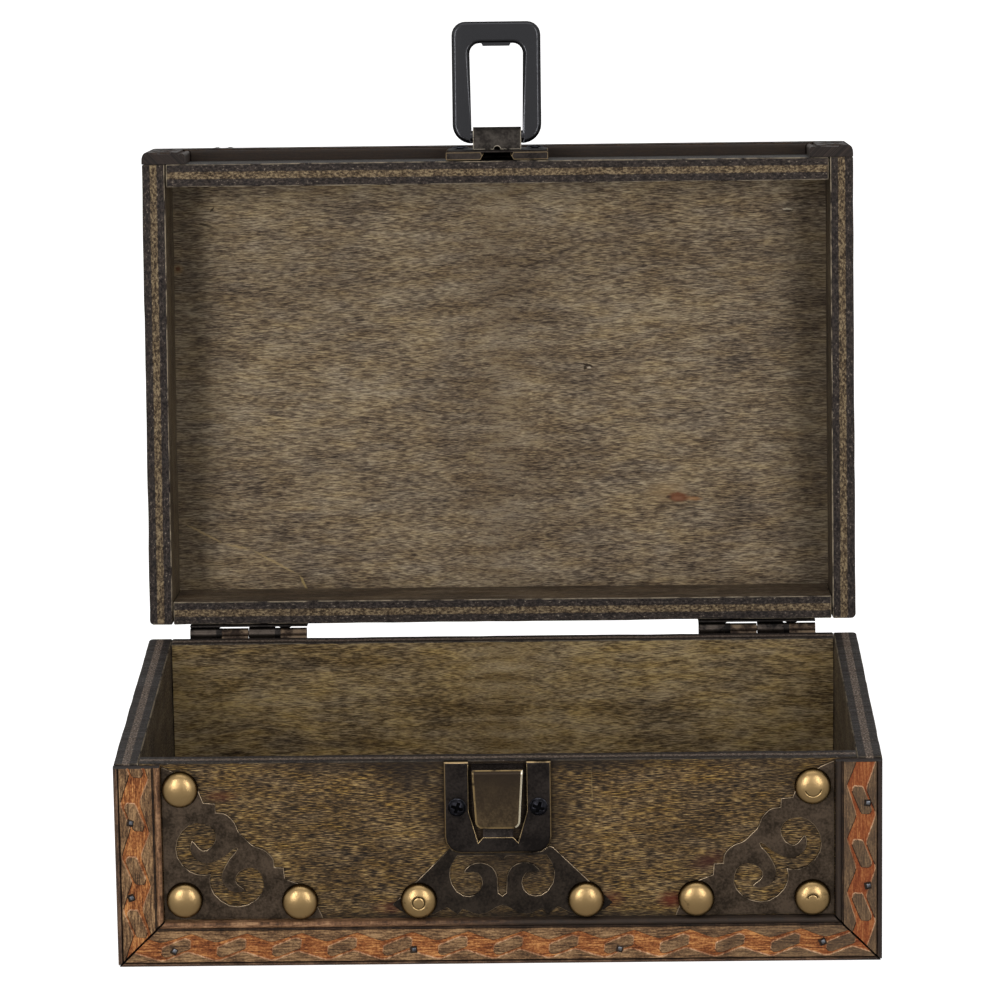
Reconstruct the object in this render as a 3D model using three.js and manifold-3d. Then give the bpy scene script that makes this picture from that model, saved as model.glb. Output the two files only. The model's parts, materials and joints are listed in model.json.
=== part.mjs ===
// Wooden treasure chest with a hinged lid: plywood boards, carved front trims, dark metal corner plates
// under brass dome tacks, a hook catch on the body and a swinging ring on the lid that closes over it.
// Millimetres, +Z up. The origin is the centre of the underside and the front faces -Y.
// The lid stands open on its hinges and the ring stands square to the lid's front.
import * as THREE from 'three';
import { mergeVertices } from 'three/addons/utils/BufferGeometryUtils.js';
import Module from 'manifold-3d';

const wasm = await Module();
wasm.setup();

// Driving dimensions of the chest
const chestWidth = 230;
const chestDepth = 150;
const bodyHeight = 63;
const lidHeight = 40;
const openDegrees = 97.3;

// Boards: thick plywood walls between thinner floor and lid boards
const wallThick = 7.5;
const boardThick = 4.5;
const backRound = 1.5;

// Clearances and the overrun of every cut
const seatGap = 0.3;
const rimGap = 0.4;
const overrun = 1;
const weldDistance = 0.0001;

// Carved trims on the front: rounded outer strip, groove, flat for the carving, groove and bead
const trimWidth = 14;
const trimThick = 3.8;
const stripWidth = 1.4;
const stripDrop = 2.6;
const grooveWidth = 0.5;
const grooveDepth = 0.7;
const beadWidth = 1.9;
const beadDrop = 0.4;
const mitreGap = 0.3;
const trimHeadDrop = 0.6;

// Thin ornamental plates on the body's front
const plateThick = 0.8;
const plateGap = 0.3;
const cornerLeg = 47.6;
const centreHalf = 33;
const centreRise = 20;
const centreShift = 1;

// Brass dome tacks and where they stand on the front
const tackRadius = 5.5;
const tackHeight = 3.7;
const tackRim = 0.9;
const tackHollow = 1.2;
const nailRadius = 0.8;
const nailLength = 6;
const tackInset = 6.4;
const tackSpacing = 34.7;
const tackCentre = 25;

// How far the hand set each tack off its place, to the right and up
const tackSlips = {
  upper_left: [-0.5, 0],
  upper_right: [-0.4, -0.8],
  corner_left: [0.1, 0.2],
  corner_right: [-0.5, -0.7],
  side_left: [0.1, -0.6],
  side_right: [-0.7, -0.7],
  centre_left: [-0.1, -0.6],
  centre_right: [0.1, -0.7],
};

// Hook catch: a pressed tray with a window, and a strap that folds forward and down as a tongue
const sheetThick = 0.9;
const edgeRound = 0.7;
const catchHalf = 16;
const catchHeight = 28.3;
const catchProud = 2.4;
const catchRound = 5;
const windowHalf = 8.75;
const windowShoulder = 13;
const notchHalf = 6;
const notchHeight = 3.2;
const lipHalf = 4.5;
const lipHeight = 4.9;
const strapDrop = 0.6;
const shelfFall = 0.9;
const hookReach = 6.5;
const foldRadius = 1.3;
const tongueHalf = 7.75;
const tongueTipHalf = 6.7;
const tongueRound = 2.2;
const tongueEnd = 8.8;
const strapShoulder = 9;
const strapBack = 0.1;
const shelfSlotHalf = 3.7;
const shelfSlotWidth = 1;
const shelfSlotInset = 1.3;

// Screws of the latch pieces and of the hinges
const latchScrewOut = 12.2;
const catchScrewHeight = 14.4;
const latchHeadRadius = 2.9;
const latchHeadHeight = 1.5;
const ringHeadHeight = 0.7;
const hingeHeadRadius = 2.1;
const hingeHeadHeight = 1;
const screwRadius = 1.2;
const latchScrewLength = 8;
const hingeScrewLength = 5.6;
const drillDepth = 6.2;
const crossLengthShare = 1.2;
const crossWidthShare = 0.3;
const crossDepthShare = 0.6;
const holeClearance = 0.25;

// Ring plate on the lid with the clip that holds the ring's round bar
const ringPlateHalf = 16.5;
const ringPlateHeight = 25;
const ringPlateProud = 3.1;
const ringScrewHeight = 15;
const endNotchHalf = 5.4;
const endNotchFrontHalf = 4.2;
const clipHalf = 7.8;
const clipRise = 4;
const clipPeepRadius = 1.1;

// Swinging ring
const ringHalf = 14.4;
const ringTop = 37.3;
const ringFoot = 2.1;
const ringThick = 3;
const ringBevel = 1.1;
const ringInnerHalf = 8.65;
const ringInnerFootHalf = 8.2;
const ringInnerTop = 30.3;
const ringTopRound = 4.4;
const ringFootRound = 6.2;
const ringInnerRound = 3.3;
const ringTabHalf = 5.2;
const ringTabDepth = 0.9;
const barRadius = 2;
const barEmbed = 0.5;
const barClearance = 0.3;
const snapGap = 0.4;

// Hinges: two alike leaves, one turned over, round a loose pin
const hingeInset = 13.2;
const hingeLength = 38;
const hingeBack = 3;
const hingeLift = 0.8;
const barrelRadius = 1.7;
const pinRadius = 0.85;
const pinClearance = 0.1;
const knuckleLength = 8.5;
const knuckleGap = 0.2;
const leafThick = 0.9;
const leafHeight = 12.5;
const leafTop = 2.4;
const leafRound = 2;
const leafScrewDrop = 7.6;
const leafScrewOut = 11.5;
const neckStartDegrees = 194;
const neckEndDegrees = 234;

// Steps of round shapes
const domeSteps = 5;
const roundSides = 20;
const smallSides = 12;
const cornerSteps = 4;
const edgeSteps = 3;
const bulgeSteps = 20;
const scrollSteps = 69;

// Places worked out from the sizes above
const frontY = -chestDepth / 2;
const backY = chestDepth / 2;
const rimZ = bodyHeight + rimGap;
const hingeY = backY + hingeBack;
const hingeZ = bodyHeight + hingeLift;
const hingeCentre = chestWidth / 2 - hingeInset - hingeLength / 2;
const catchZ = bodyHeight - catchHeight;
const ringPlateFrontY = frontY - seatGap - ringPlateProud;
const ringY = ringPlateFrontY - clipRise;
const tabRadius = ringInnerTop - ringTabDepth;
const ringZ = catchZ + tongueEnd - snapGap + tabRadius;
const ringPlateZ = rimZ + seatGap;

// Finishes
const finish = (color, roughness, metalness) => (
  new THREE.MeshStandardMaterial({ color, roughness, metalness })
);
const plywood = finish(0x5a4a32, 0.7, 0);
const carvedWood = finish(0x9c5128, 0.6, 0);
const darkMetal = finish(0x2f2a24, 0.45, 0.8);
const bronze = finish(0x4a3f2e, 0.4, 0.85);
const brass = finish(0xb08d3f, 0.3, 1);
const blackSteel = finish(0x2b2c2f, 0.3, 0.6);

// Outlines and solids
const point = (x, y) => new THREE.Vector2(x, y);

function arc(centreX, centreY, radius, from, to, steps) {
  const points = [];
  for (let i = 0; i <= steps; i += 1) {
    const angle = from + ((to - from) * i) / steps;
    points.push(point(centreX + radius * Math.cos(angle), centreY + radius * Math.sin(angle)));
  }
  return points;
}

// A rectangle whose corners are rounded from the lower left one on, anticlockwise; 0 keeps one square.
function roundedRectangle(left, bottom, right, top, rounds) {
  const quarter = Math.PI / 2;
  const corners = [[left, bottom], [right, bottom], [right, top], [left, top]];
  return corners.flatMap(([x, y], i) => {
    const round = rounds[i];
    if (round === 0) return [point(x, y)];
    const inX = x + (x === left ? round : -round);
    const inY = y + (y === bottom ? round : -round);
    return arc(inX, inY, round, (i + 2) * quarter, (i + 3) * quarter, cornerSteps);
  });
}

const mirroredPoints = (points) => points.map((p) => point(-p.x, p.y)).reverse();

function shapeOf(points, ...holes) {
  const shape = new THREE.Shape(THREE.ShapeUtils.isClockWise(points) ? [...points].reverse() : points);
  holes.forEach((hole) => shape.holes.push(new THREE.Path(hole)));
  return shape;
}

// A plan outline (x, y) that rises along +Z.
function upright(shape, height) {
  return new THREE.ExtrudeGeometry(shape, { depth: height, bevelEnabled: false });
}

// A front outline (x, z) that stands forward from y = 0, with an optional rounding of both edges.
function forward(shape, thick, round = 0) {
  const settings = { depth: thick, bevelEnabled: false };
  if (round > 0) {
    Object.assign(settings, {
      depth: thick - 2 * round, bevelEnabled: true, bevelSize: round, bevelOffset: -round,
      bevelThickness: round, bevelSegments: edgeSteps,
    });
  }
  return new THREE.ExtrudeGeometry(shape, settings).translate(0, 0, round).rotateX(Math.PI / 2);
}

// A cutter that runs right through a plate whose face stands proud of y = 0.
const through = (shape, proud) => forward(shape, proud + 2 * overrun).translate(0, overrun, 0);

// An end outline (y, z) that runs along +X.
function endways(shape, length) {
  const basis = new THREE.Matrix4().makeBasis(
    new THREE.Vector3(0, 1, 0), new THREE.Vector3(0, 0, 1), new THREE.Vector3(1, 0, 0),
  );
  return new THREE.ExtrudeGeometry(shape, { depth: length, bevelEnabled: false }).applyMatrix4(basis);
}

// A profile turned round the Y axis, as (radius, height) points from its foot to its top.
const turned = (points, sides) => new THREE.LatheGeometry(points, sides);

function solid(geometry) {
  const bare = geometry.index ? geometry.toNonIndexed() : geometry.clone();
  bare.deleteAttribute('normal');
  bare.deleteAttribute('uv');
  const merged = mergeVertices(bare, weldDistance);
  const vertProperties = merged.attributes.position.array;
  const triVerts = new Uint32Array(merged.index.array);
  return new wasm.Manifold(new wasm.Mesh({ numProp: 3, vertProperties, triVerts }));
}

function geometryOf(made) {
  const mesh = made.getMesh();
  const geometry = new THREE.BufferGeometry();
  geometry.setAttribute('position', new THREE.BufferAttribute(mesh.vertProperties, 3));
  geometry.setIndex(new THREE.BufferAttribute(mesh.triVerts, 1));
  return geometry.toNonIndexed();
}

function finished(geometry) {
  geometry.computeVertexNormals();
  return geometry;
}

const join = (...parts) => geometryOf(parts.map(solid).reduce((a, b) => a.add(b)));
const cut = (part, ...cutters) => (
  geometryOf(cutters.map(solid).reduce((a, b) => a.subtract(b), solid(part)))
);
const common = (a, b) => geometryOf(solid(a).intersect(solid(b)));

// A round hole along Y, from a face at y = faceY inwards; towards is +1 for a hole that goes to +Y.
function hole(x, z, faceY, radius, depth, towards) {
  const length = depth + overrun;
  const middleY = faceY + (towards * (depth - overrun)) / 2;
  return new THREE.CylinderGeometry(radius, radius, length, smallSides).translate(x, middleY, z);
}

// The mirror image in the plane x = 0, with its faces turned outwards again.
function mirrored(geometry) {
  const image = geometry.clone().scale(-1, 1, 1);
  const { array } = image.attributes.position;
  const corner = 3;
  for (let i = corner; i < array.length; i += 3 * corner) {
    const second = array.slice(i, i + corner);
    array.copyWithin(i, i + corner, i + 2 * corner);
    array.set(second, i + corner);
  }
  return image;
}

// The three bodies' groups: the lid's pieces are placed as if it were shut, then turned back on the hinge
const chest = new THREE.Group();
const lidSwing = new THREE.Group();
const lid = new THREE.Group();
const ringSwing = new THREE.Group();
lidSwing.position.set(0, hingeY, hingeZ);
lidSwing.rotation.x = -THREE.MathUtils.degToRad(openDegrees);
lid.position.set(0, -hingeY, -hingeZ);
ringSwing.position.set(0, ringY, ringZ);
ringSwing.rotation.x = Math.PI / 2;
chest.add(lidSwing);
lidSwing.add(lid);
lid.add(ringSwing);

function place(group, name, geometry, material, x = 0, y = 0, z = 0) {
  const mesh = new THREE.Mesh(finished(geometry), material);
  mesh.name = name;
  mesh.position.set(x, y, z);
  group.add(mesh);
  return mesh;
}

// Places of the fasteners on the front
const tackRowZ = trimWidth + tackInset;
const tackOutX = chestWidth / 2 - trimWidth - tackInset;
const tackPlaces = {
  upper: [tackOutX, tackRowZ + tackSpacing, 0],
  corner: [tackOutX, tackRowZ, 0],
  side: [tackOutX - tackSpacing, tackRowZ, 0],
  centre: [tackCentre, tackRowZ, centreShift],
};
const tacks = {};
for (const [name, [out, z, shift]] of Object.entries(tackPlaces)) {
  for (const [end, side] of [['left', -1], ['right', 1]]) {
    const [slipX, slipZ] = tackSlips[`${name}_${end}`];
    tacks[`${name}_${end}`] = [side * out + shift + slipX, z + slipZ];
  }
}
// Nail holes for the tacks whose names end so, through whatever stands this proud of the wall
const nailHoles = (ending, proud, depth) => (
  Object.entries(tacks)
    .filter(([name]) => name.endsWith(ending))
    .map(([, [x, z]]) => hole(x, z, frontY - proud, nailHole, depth, 1))
);
const catchScrewZ = catchZ + catchScrewHeight;
const ringScrewZ = ringPlateZ + ringScrewHeight;
const nailHole = nailRadius + holeClearance;
const screwHole = screwRadius + holeClearance;

// Boards of the body: two side walls run the full depth, front and back stand between them on the floor
function frontHoles() {
  const drilled = nailHoles('', 0, drillDepth);
  for (const x of [-latchScrewOut, latchScrewOut]) {
    drilled.push(hole(x, catchScrewZ, frontY, screwHole, drillDepth, 1));
  }
  return drilled;
}

function hingeHoles(z) {
  const centres = [-hingeCentre, hingeCentre];
  const places = centres.flatMap((centre) => [centre - leafScrewOut, centre + leafScrewOut]);
  return places.map((x) => hole(x, z, backY, screwHole, drillDepth, -1));
}

// A side wall with its outer back edge eased; side is -1 for the left wall.
function sideWall(side, height) {
  const outer = chestWidth / 2;
  const inner = outer - wallThick;
  const left = side < 0 ? -outer : inner;
  const right = side < 0 ? -inner : outer;
  const rounds = side < 0 ? [0, 0, 0, backRound] : [0, 0, backRound, 0];
  return upright(shapeOf(roundedRectangle(left, frontY, right, backY, rounds)), height);
}

function crossWall(fromY, gap, height) {
  const half = chestWidth / 2 - wallThick - gap;
  const outline = roundedRectangle(-half, fromY, half, fromY + wallThick, [0, 0, 0, 0]);
  return upright(shapeOf(outline), height);
}

function panelBoard() {
  const half = chestWidth / 2;
  const outline = roundedRectangle(-half, frontY, half, backY, [0, 0, backRound, backRound]);
  return upright(shapeOf(outline), boardThick);
}

const bodyWallHeight = bodyHeight - boardThick;
place(chest, 'floor_board', panelBoard(), plywood);
place(chest, 'left_wall', sideWall(-1, bodyWallHeight), plywood, 0, 0, boardThick);
place(chest, 'right_wall', sideWall(1, bodyWallHeight), plywood, 0, 0, boardThick);
const bodyFront = crossWall(frontY, 0, bodyWallHeight).translate(0, 0, boardThick);
const bodyBack = crossWall(backY - wallThick, 0, bodyWallHeight).translate(0, 0, boardThick);
place(chest, 'front_wall', cut(bodyFront, ...frontHoles()), plywood);
place(chest, 'back_wall', cut(bodyBack, ...hingeHoles(hingeZ - leafScrewDrop)), plywood);

// Boards of the lid, with a thin gap wherever two of them meet
const lidWallHeight = lidHeight - boardThick - seatGap;
const lidScrewHoles = [-latchScrewOut, latchScrewOut].map((x) => (
  hole(x, ringScrewZ, frontY, screwHole, drillDepth, 1)
));
place(lid, 'lid_top_board', panelBoard(), plywood, 0, 0, rimZ + lidHeight - boardThick);
place(lid, 'lid_left_wall', sideWall(-1, lidWallHeight), plywood, 0, 0, rimZ);
place(lid, 'lid_right_wall', sideWall(1, lidWallHeight), plywood, 0, 0, rimZ);
const lidFront = crossWall(frontY, seatGap, lidWallHeight).translate(0, 0, rimZ);
const lidBack = crossWall(backY - wallThick, seatGap, lidWallHeight).translate(0, 0, rimZ);
place(lid, 'lid_front_wall', cut(lidFront, ...lidScrewHoles), plywood);
place(lid, 'lid_back_wall', cut(lidBack, ...hingeHoles(hingeZ + leafScrewDrop)), plywood);

// Trim section: across from the outer edge, and out from the wall
function trimSection() {
  const grooveFoot = trimThick - grooveDepth;
  const beadRadius = beadWidth / 2;
  const beadTop = trimThick - beadDrop - beadRadius;
  const quarter = Math.PI / 2;
  const flatEnd = trimWidth - beadWidth - grooveWidth;
  return [
    point(0, 0),
    ...arc(stripWidth, 0, stripWidth, 2 * quarter, quarter, cornerSteps).map((p) => (
      point(p.x, trimThick - stripDrop + (p.y * stripDrop) / stripWidth)
    )),
    point(stripWidth + grooveWidth / 2, grooveFoot),
    point(stripWidth + grooveWidth, trimThick),
    point(flatEnd, trimThick),
    point(flatEnd, grooveFoot),
    point(flatEnd + grooveWidth, grooveFoot),
    ...arc(trimWidth - beadRadius, beadTop, beadRadius, 2 * quarter, 0, 2 * cornerSteps),
    point(trimWidth, 0),
  ];
}

// Cuts the ends of a bar that starts at 0 along one axis to 45 degrees, as far as it lies across another.
function mitre(geometry, along, across, length, startCut, endCut) {
  const { array } = geometry.attributes.position;
  for (let i = 0; i < array.length; i += 3) {
    const inset = Math.abs(array[i + across]) + mitreGap / 2;
    const atStart = array[i + along] < length / 2;
    if (atStart && startCut) array[i + along] += inset;
    if (!atStart && endCut) array[i + along] -= inset;
  }
  return geometry;
}

// Upright trim of the left edge, mitred at its foot on the body and at its head on the lid.
function uprightTrim(length, mitredFoot) {
  const shape = shapeOf(trimSection().map((p) => point(p.x, -p.y)));
  return mitre(upright(shape, length), 2, 0, length, mitredFoot, !mitredFoot);
}

// Cross trim; up is 1 along the body's lower edge and -1 along the lid's upper edge.
function crossTrim(up) {
  const shape = shapeOf(trimSection().map((p) => point(-p.y, up * p.x)));
  return mitre(endways(shape, chestWidth), 0, 2, chestWidth, true, true);
}

function placeTrims(group, prefix, foot, height, crossAtFoot, y) {
  const outer = chestWidth / 2;
  const left = uprightTrim(height, crossAtFoot);
  place(group, `${prefix}_trim_left`, left, carvedWood, -outer, y, foot);
  place(group, `${prefix}_trim_right`, mirrored(left), carvedWood, outer, y, foot);
  const crossName = crossAtFoot ? 'bottom' : 'top';
  const crossZ = crossAtFoot ? foot : foot + height;
  const cross = crossTrim(crossAtFoot ? 1 : -1);
  place(group, `${prefix}_trim_${crossName}`, cross, carvedWood, -outer, y, crossZ);
}

placeTrims(chest, 'body', 0, bodyHeight - trimHeadDrop, true, frontY);
placeTrims(lid, 'lid', rimZ, lidHeight, false, frontY - seatGap);

// Corner plate: outline and scroll mirror themselves in the diagonal, so only the half above it is given
const cornerStepShares = [
  [0.02, 0.995], [0.085, 0.965], [0.17, 0.915], [0.225, 0.865], [0.262, 0.765], [0.335, 0.758], [0.338, 0.7],
];
const cornerBulgeShares = [[0.338, 0.7], [0.402, 0.69], [0.455, 0.635], [0.48, 0.572], [0.525, 0.525]];
const scrollShares = [
  [0.3, 0.3], [0.235, 0.292], [0.16, 0.322], [0.097, 0.396], [0.084, 0.483], [0.118, 0.571],
  [0.186, 0.627], [0.253, 0.629], [0.311, 0.605], [0.337, 0.552], [0.319, 0.49], [0.27, 0.452],
  [0.235, 0.462], [0.21, 0.49], [0.185, 0.517], [0.172, 0.466], [0.189, 0.414], [0.235, 0.375],
  [0.286, 0.366], [0.344, 0.388], [0.403, 0.423], [0.44, 0.458], [0.47, 0.47],
];

const scaledPoints = (shares, width, height) => shares.map(([x, y]) => point(x * width, y * height));
const smoothed = (points, steps) => new THREE.SplineCurve(points).getPoints(steps);
// The other half of an outline that ends on the diagonal, back to where it began.
const acrossDiagonal = (points) => points.slice(0, -1).map((p) => point(p.y, p.x)).reverse();

function cornerPlate() {
  const steps = scaledPoints(cornerStepShares, cornerLeg, cornerLeg).slice(0, -1);
  const bulgeHalf = scaledPoints(cornerBulgeShares, cornerLeg, cornerLeg);
  const bulges = smoothed([...bulgeHalf, ...acrossDiagonal(bulgeHalf)], bulgeSteps);
  const lower = steps.map((p) => point(p.y, p.x)).reverse();
  const outline = [point(0, 0), point(0, cornerLeg), ...steps, ...bulges, ...lower, point(cornerLeg, 0)];
  const scrollHalf = scaledPoints(scrollShares, cornerLeg, cornerLeg);
  const scroll = smoothed([...scrollHalf, ...acrossDiagonal(scrollHalf)], scrollSteps).slice(0, -1);
  const cornerX = -chestWidth / 2 + trimWidth + plateGap;
  const cornerZ = trimWidth + plateGap;
  return join(forward(shapeOf(outline, scroll), plateThick).translate(cornerX, frontY, cornerZ));
}

const plateDepth = plateThick + overrun;
const leftCorner = cut(cornerPlate(), ...nailHoles('_left', plateThick, plateDepth));
const rightCorner = cut(mirrored(cornerPlate()), ...nailHoles('_right', plateThick, plateDepth));
place(chest, 'corner_plate_left', leftCorner, darkMetal);
place(chest, 'corner_plate_right', rightCorner, darkMetal);

// Centre plate: the right half of its outline and of its cut-out, as shares of its half width and its rise
const centreEdgeShares = [
  [0, 0.18], [0.048, 0.155], [0.091, 0.11], [0.148, 0.055], [0.215, 0.035], [0.273, 0.055], [0.324, 0.1],
  [0.364, 0.12], [0.409, 0.035], [0.506, 0.15], [0.624, 0.045], [0.773, 0.02], [0.918, 0.095], [1, 0.2],
  [0.464, 1.085], [0.43, 1.1],
];
const ramScrollShares = [
  [0, 0.888], [0.042, 0.945], [0.075, 0.955], [0.209, 0.957], [0.405, 0.957], [0.443, 0.865], [0.47, 0.76],
  [0.475, 0.64], [0.459, 0.52], [0.412, 0.4], [0.354, 0.335], [0.301, 0.322], [0.24, 0.35], [0.2, 0.415],
  [0.181, 0.52], [0.19, 0.61], [0.218, 0.68], [0.261, 0.7], [0.313, 0.69], [0.345, 0.695], [0.335, 0.745],
  [0.292, 0.81], [0.24, 0.845], [0.187, 0.85], [0.133, 0.825], [0.088, 0.775], [0.058, 0.7], [0.042, 0.605],
  [0.039, 0.46], [0.036, 0.37], [0, 0.325],
];

const catchOutline = (gap) => roundedRectangle(
  -catchHalf - gap, -gap, catchHalf + gap, catchHeight, [catchRound + gap, catchRound + gap, 0, 0],
);

function centrePlate() {
  const edge = scaledPoints(centreEdgeShares, centreHalf, centreRise);
  const ram = scaledPoints(ramScrollShares, centreHalf, centreRise);
  const outline = [...edge, ...mirroredPoints(edge.slice(1))];
  const opening = [...ram, ...mirroredPoints(ram.slice(1, -1))];
  const foot = trimWidth + plateGap;
  const plate = forward(shapeOf(outline, opening), plateThick).translate(centreShift, frontY, foot);
  const above = through(shapeOf(catchOutline(plateGap)), plateThick).translate(0, frontY, catchZ);
  return cut(plate, above, ...nailHoles('', plateThick, plateDepth));
}

place(chest, 'centre_plate', centrePlate(), darkMetal);

// Brass dome tacks: a hollow-footed dome on a short nail, its axis along -Y
function tack() {
  const quarter = Math.PI / 2;
  const dome = arc(0, 0, tackRadius, 0, quarter, domeSteps).map((p) => (
    point(p.x, (p.y * tackHeight) / tackRadius)
  ));
  const crown = dome.slice(0, -1);
  const profile = [
    point(0, -nailLength),
    point(nailRadius, -nailLength + nailRadius),
    point(nailRadius, tackHollow),
    point(tackRadius - tackRim - tackHollow / 2, tackHollow),
    point(tackRadius - tackRim, 0),
    ...crown,
    point(0, tackHeight),
  ];
  return turned(profile, roundSides).rotateX(Math.PI);
}

const tackFaceY = frontY - plateThick;
for (const [name, [x, z]] of Object.entries(tacks)) {
  place(chest, `tack_${name}`, tack(), brass, x, tackFaceY, z);
}

// Cross-head screw: its axis along +Y with the head's underside at 0
function screw(headRadius, headHeight, length) {
  const quarter = Math.PI / 2;
  const head = arc(0, 0, headRadius, 0, quarter, cornerSteps).map((p) => (
    point(p.x, (p.y * headHeight) / headRadius)
  ));
  const profile = [
    point(0, -length),
    point(screwRadius, -length + 2 * screwRadius),
    point(screwRadius, 0),
    ...head.slice(0, -1),
    point(0, headHeight),
  ];
  const long = headRadius * crossLengthShare;
  const wide = headRadius * crossWidthShare;
  const deep = headHeight * crossDepthShare + overrun;
  const recessY = headHeight + overrun - deep / 2;
  const crossArms = [[long, wide], [wide, long]].map(([x, z]) => (
    new THREE.BoxGeometry(x, deep, z).translate(0, recessY, 0)
  ));
  return cut(turned(profile, smallSides), ...crossArms);
}

const latchScrew = (headHeight) => (
  screw(latchHeadRadius, headHeight, latchScrewLength).rotateX(Math.PI)
);
const hingeScrew = () => screw(hingeHeadRadius, hingeHeadHeight, hingeScrewLength);

// Pressed tray: a sheet with its rim turned back to the wall, outline and hollow given from the front
function pressedTray(outline, hollow, proud) {
  const block = forward(shapeOf(outline), proud + edgeRound, edgeRound).translate(0, edgeRound, 0);
  const reach = 2 * chestWidth;
  const behind = new THREE.BoxGeometry(reach, reach, reach).translate(0, reach / 2, 0);
  const inside = forward(shapeOf(hollow), proud - sheetThick + overrun).translate(0, overrun, 0);
  return cut(block, behind, inside);
}

const screwPair = (z, proud) => [-latchScrewOut, latchScrewOut].map((x) => (
  hole(x, z, -proud, screwHole, proud + overrun, 1)
));

// Hook catch: the strap rises from the window's lip behind the tray, folds forward over the top
// and hangs down in front as a tapered tongue with a free rounded end
function catchStrap() {
  const quarter = Math.PI / 2;
  const top = catchHeight - strapDrop;
  const frontTop = top - shelfFall;
  const innerRound = foldRadius - sheetThick;
  const backFoldY = -strapBack - foldRadius;
  const frontFoldY = -hookReach + foldRadius;
  const section = [
    point(-strapBack, strapShoulder),
    ...arc(backFoldY, top - foldRadius, foldRadius, 0, quarter, cornerSteps),
    ...arc(frontFoldY, frontTop - foldRadius, foldRadius, quarter, 2 * quarter, cornerSteps),
    point(-hookReach, tongueEnd),
    point(-hookReach + sheetThick, tongueEnd),
    ...arc(frontFoldY, frontTop - foldRadius, innerRound, 2 * quarter, quarter, cornerSteps),
    ...arc(backFoldY, top - foldRadius, innerRound, quarter, 0, cornerSteps),
    point(-strapBack - sheetThick, strapShoulder),
    point(-catchProud, lipHeight),
    point(-catchProud + sheetThick, lipHeight - sheetThick),
  ];
  const strap = endways(shapeOf(section), 2 * tongueHalf).translate(-tongueHalf, 0, 0);
  const half = [
    point(lipHalf, lipHeight - 2 * sheetThick),
    point(lipHalf, tongueEnd),
    ...arc(tongueTipHalf - tongueRound, tongueEnd + tongueRound, tongueRound, -quarter, 0, cornerSteps),
    point(tongueHalf, top + overrun),
  ];
  const front = through(shapeOf([...half, ...mirroredPoints(half)]), hookReach);
  const slotY = -strapBack - shelfSlotInset - shelfSlotWidth / 2;
  const slotRise = 2 * (sheetThick + shelfFall);
  const slot = new THREE.BoxGeometry(2 * shelfSlotHalf, shelfSlotWidth, slotRise).translate(0, slotY, top);
  return cut(common(strap, front), slot);
}

function catchPlate() {
  const hollow = roundedRectangle(-catchHalf + sheetThick, sheetThick, catchHalf - sheetThick,
    catchHeight - sheetThick, [catchRound - sheetThick, catchRound - sheetThick, 0, 0]);
  const windowEdge = [
    point(lipHalf, lipHeight),
    point(notchHalf, notchHeight),
    point(windowHalf, windowShoulder),
    point(windowHalf, catchHeight + overrun),
  ];
  const window = through(shapeOf([...windowEdge, ...mirroredPoints(windowEdge)]), catchProud);
  const tray = pressedTray(catchOutline(0), hollow, catchProud);
  return join(cut(tray, window, ...screwPair(catchScrewHeight, catchProud)), catchStrap());
}

place(chest, 'catch_plate', catchPlate(), bronze, 0, frontY, catchZ);
const catchHeadY = frontY - catchProud;
const domedScrew = latchScrew(latchHeadHeight);
place(chest, 'catch_screw_left', domedScrew, blackSteel, -latchScrewOut, catchHeadY, catchScrewZ);
place(chest, 'catch_screw_right', domedScrew, blackSteel, latchScrewOut, catchHeadY, catchScrewZ);

// Ring plate: a tray with a notch in its rim's end and a folded clip round the ring's bar
function barClip() {
  const quarter = Math.PI / 2;
  const inner = barRadius + barClearance;
  const outer = inner + sheetThick;
  const barZ = ringZ - ringPlateZ;
  const barY = -ringPlateProud - clipRise;
  const rootY = -ringPlateProud + sheetThick / 2;
  const section = [
    point(rootY, barZ + outer),
    ...arc(barY, barZ, outer, quarter, 3 * quarter, 2 * cornerSteps),
    point(rootY, barZ - outer),
    point(rootY, barZ - inner),
    ...arc(barY, barZ, inner, 3 * quarter, quarter, 2 * cornerSteps),
    point(rootY, barZ + inner),
  ];
  const clip = endways(shapeOf(section), 2 * clipHalf).translate(-clipHalf, 0, 0);
  const peep = new THREE.CylinderGeometry(clipPeepRadius, clipPeepRadius, 2 * sheetThick, smallSides)
    .rotateX(quarter).translate(0, -ringPlateProud, barZ - inner - sheetThick / 2);
  return cut(clip, peep);
}

function ringPlate() {
  const outline = roundedRectangle(-ringPlateHalf, 0, ringPlateHalf, ringPlateHeight,
    [0, 0, catchRound, catchRound]);
  const innerRound = catchRound - sheetThick;
  const hollow = roundedRectangle(-ringPlateHalf + sheetThick, sheetThick, ringPlateHalf - sheetThick,
    ringPlateHeight - sheetThick, [0, 0, innerRound, innerRound]);
  const notch = upright(shapeOf([
    point(-endNotchHalf, 0),
    point(-endNotchFrontHalf, -ringPlateProud + sheetThick),
    point(endNotchFrontHalf, -ringPlateProud + sheetThick),
    point(endNotchHalf, 0),
    point(endNotchHalf, overrun),
    point(-endNotchHalf, overrun),
  ]), sheetThick + 2 * overrun).translate(0, 0, -overrun);
  const tray = pressedTray(outline, hollow, ringPlateProud);
  return join(cut(tray, notch, ...screwPair(ringScrewHeight, ringPlateProud)), barClip());
}

const ringHeadY = ringPlateFrontY - seatGap;
const lowScrew = latchScrew(ringHeadHeight);
place(lid, 'ring_plate', ringPlate(), darkMetal, 0, frontY - seatGap, ringPlateZ);
place(lid, 'ring_plate_screw_left', lowScrew, blackSteel, -latchScrewOut, ringHeadY, ringScrewZ);
place(lid, 'ring_plate_screw_right', lowScrew, blackSteel, latchScrewOut, ringHeadY, ringScrewZ);

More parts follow.
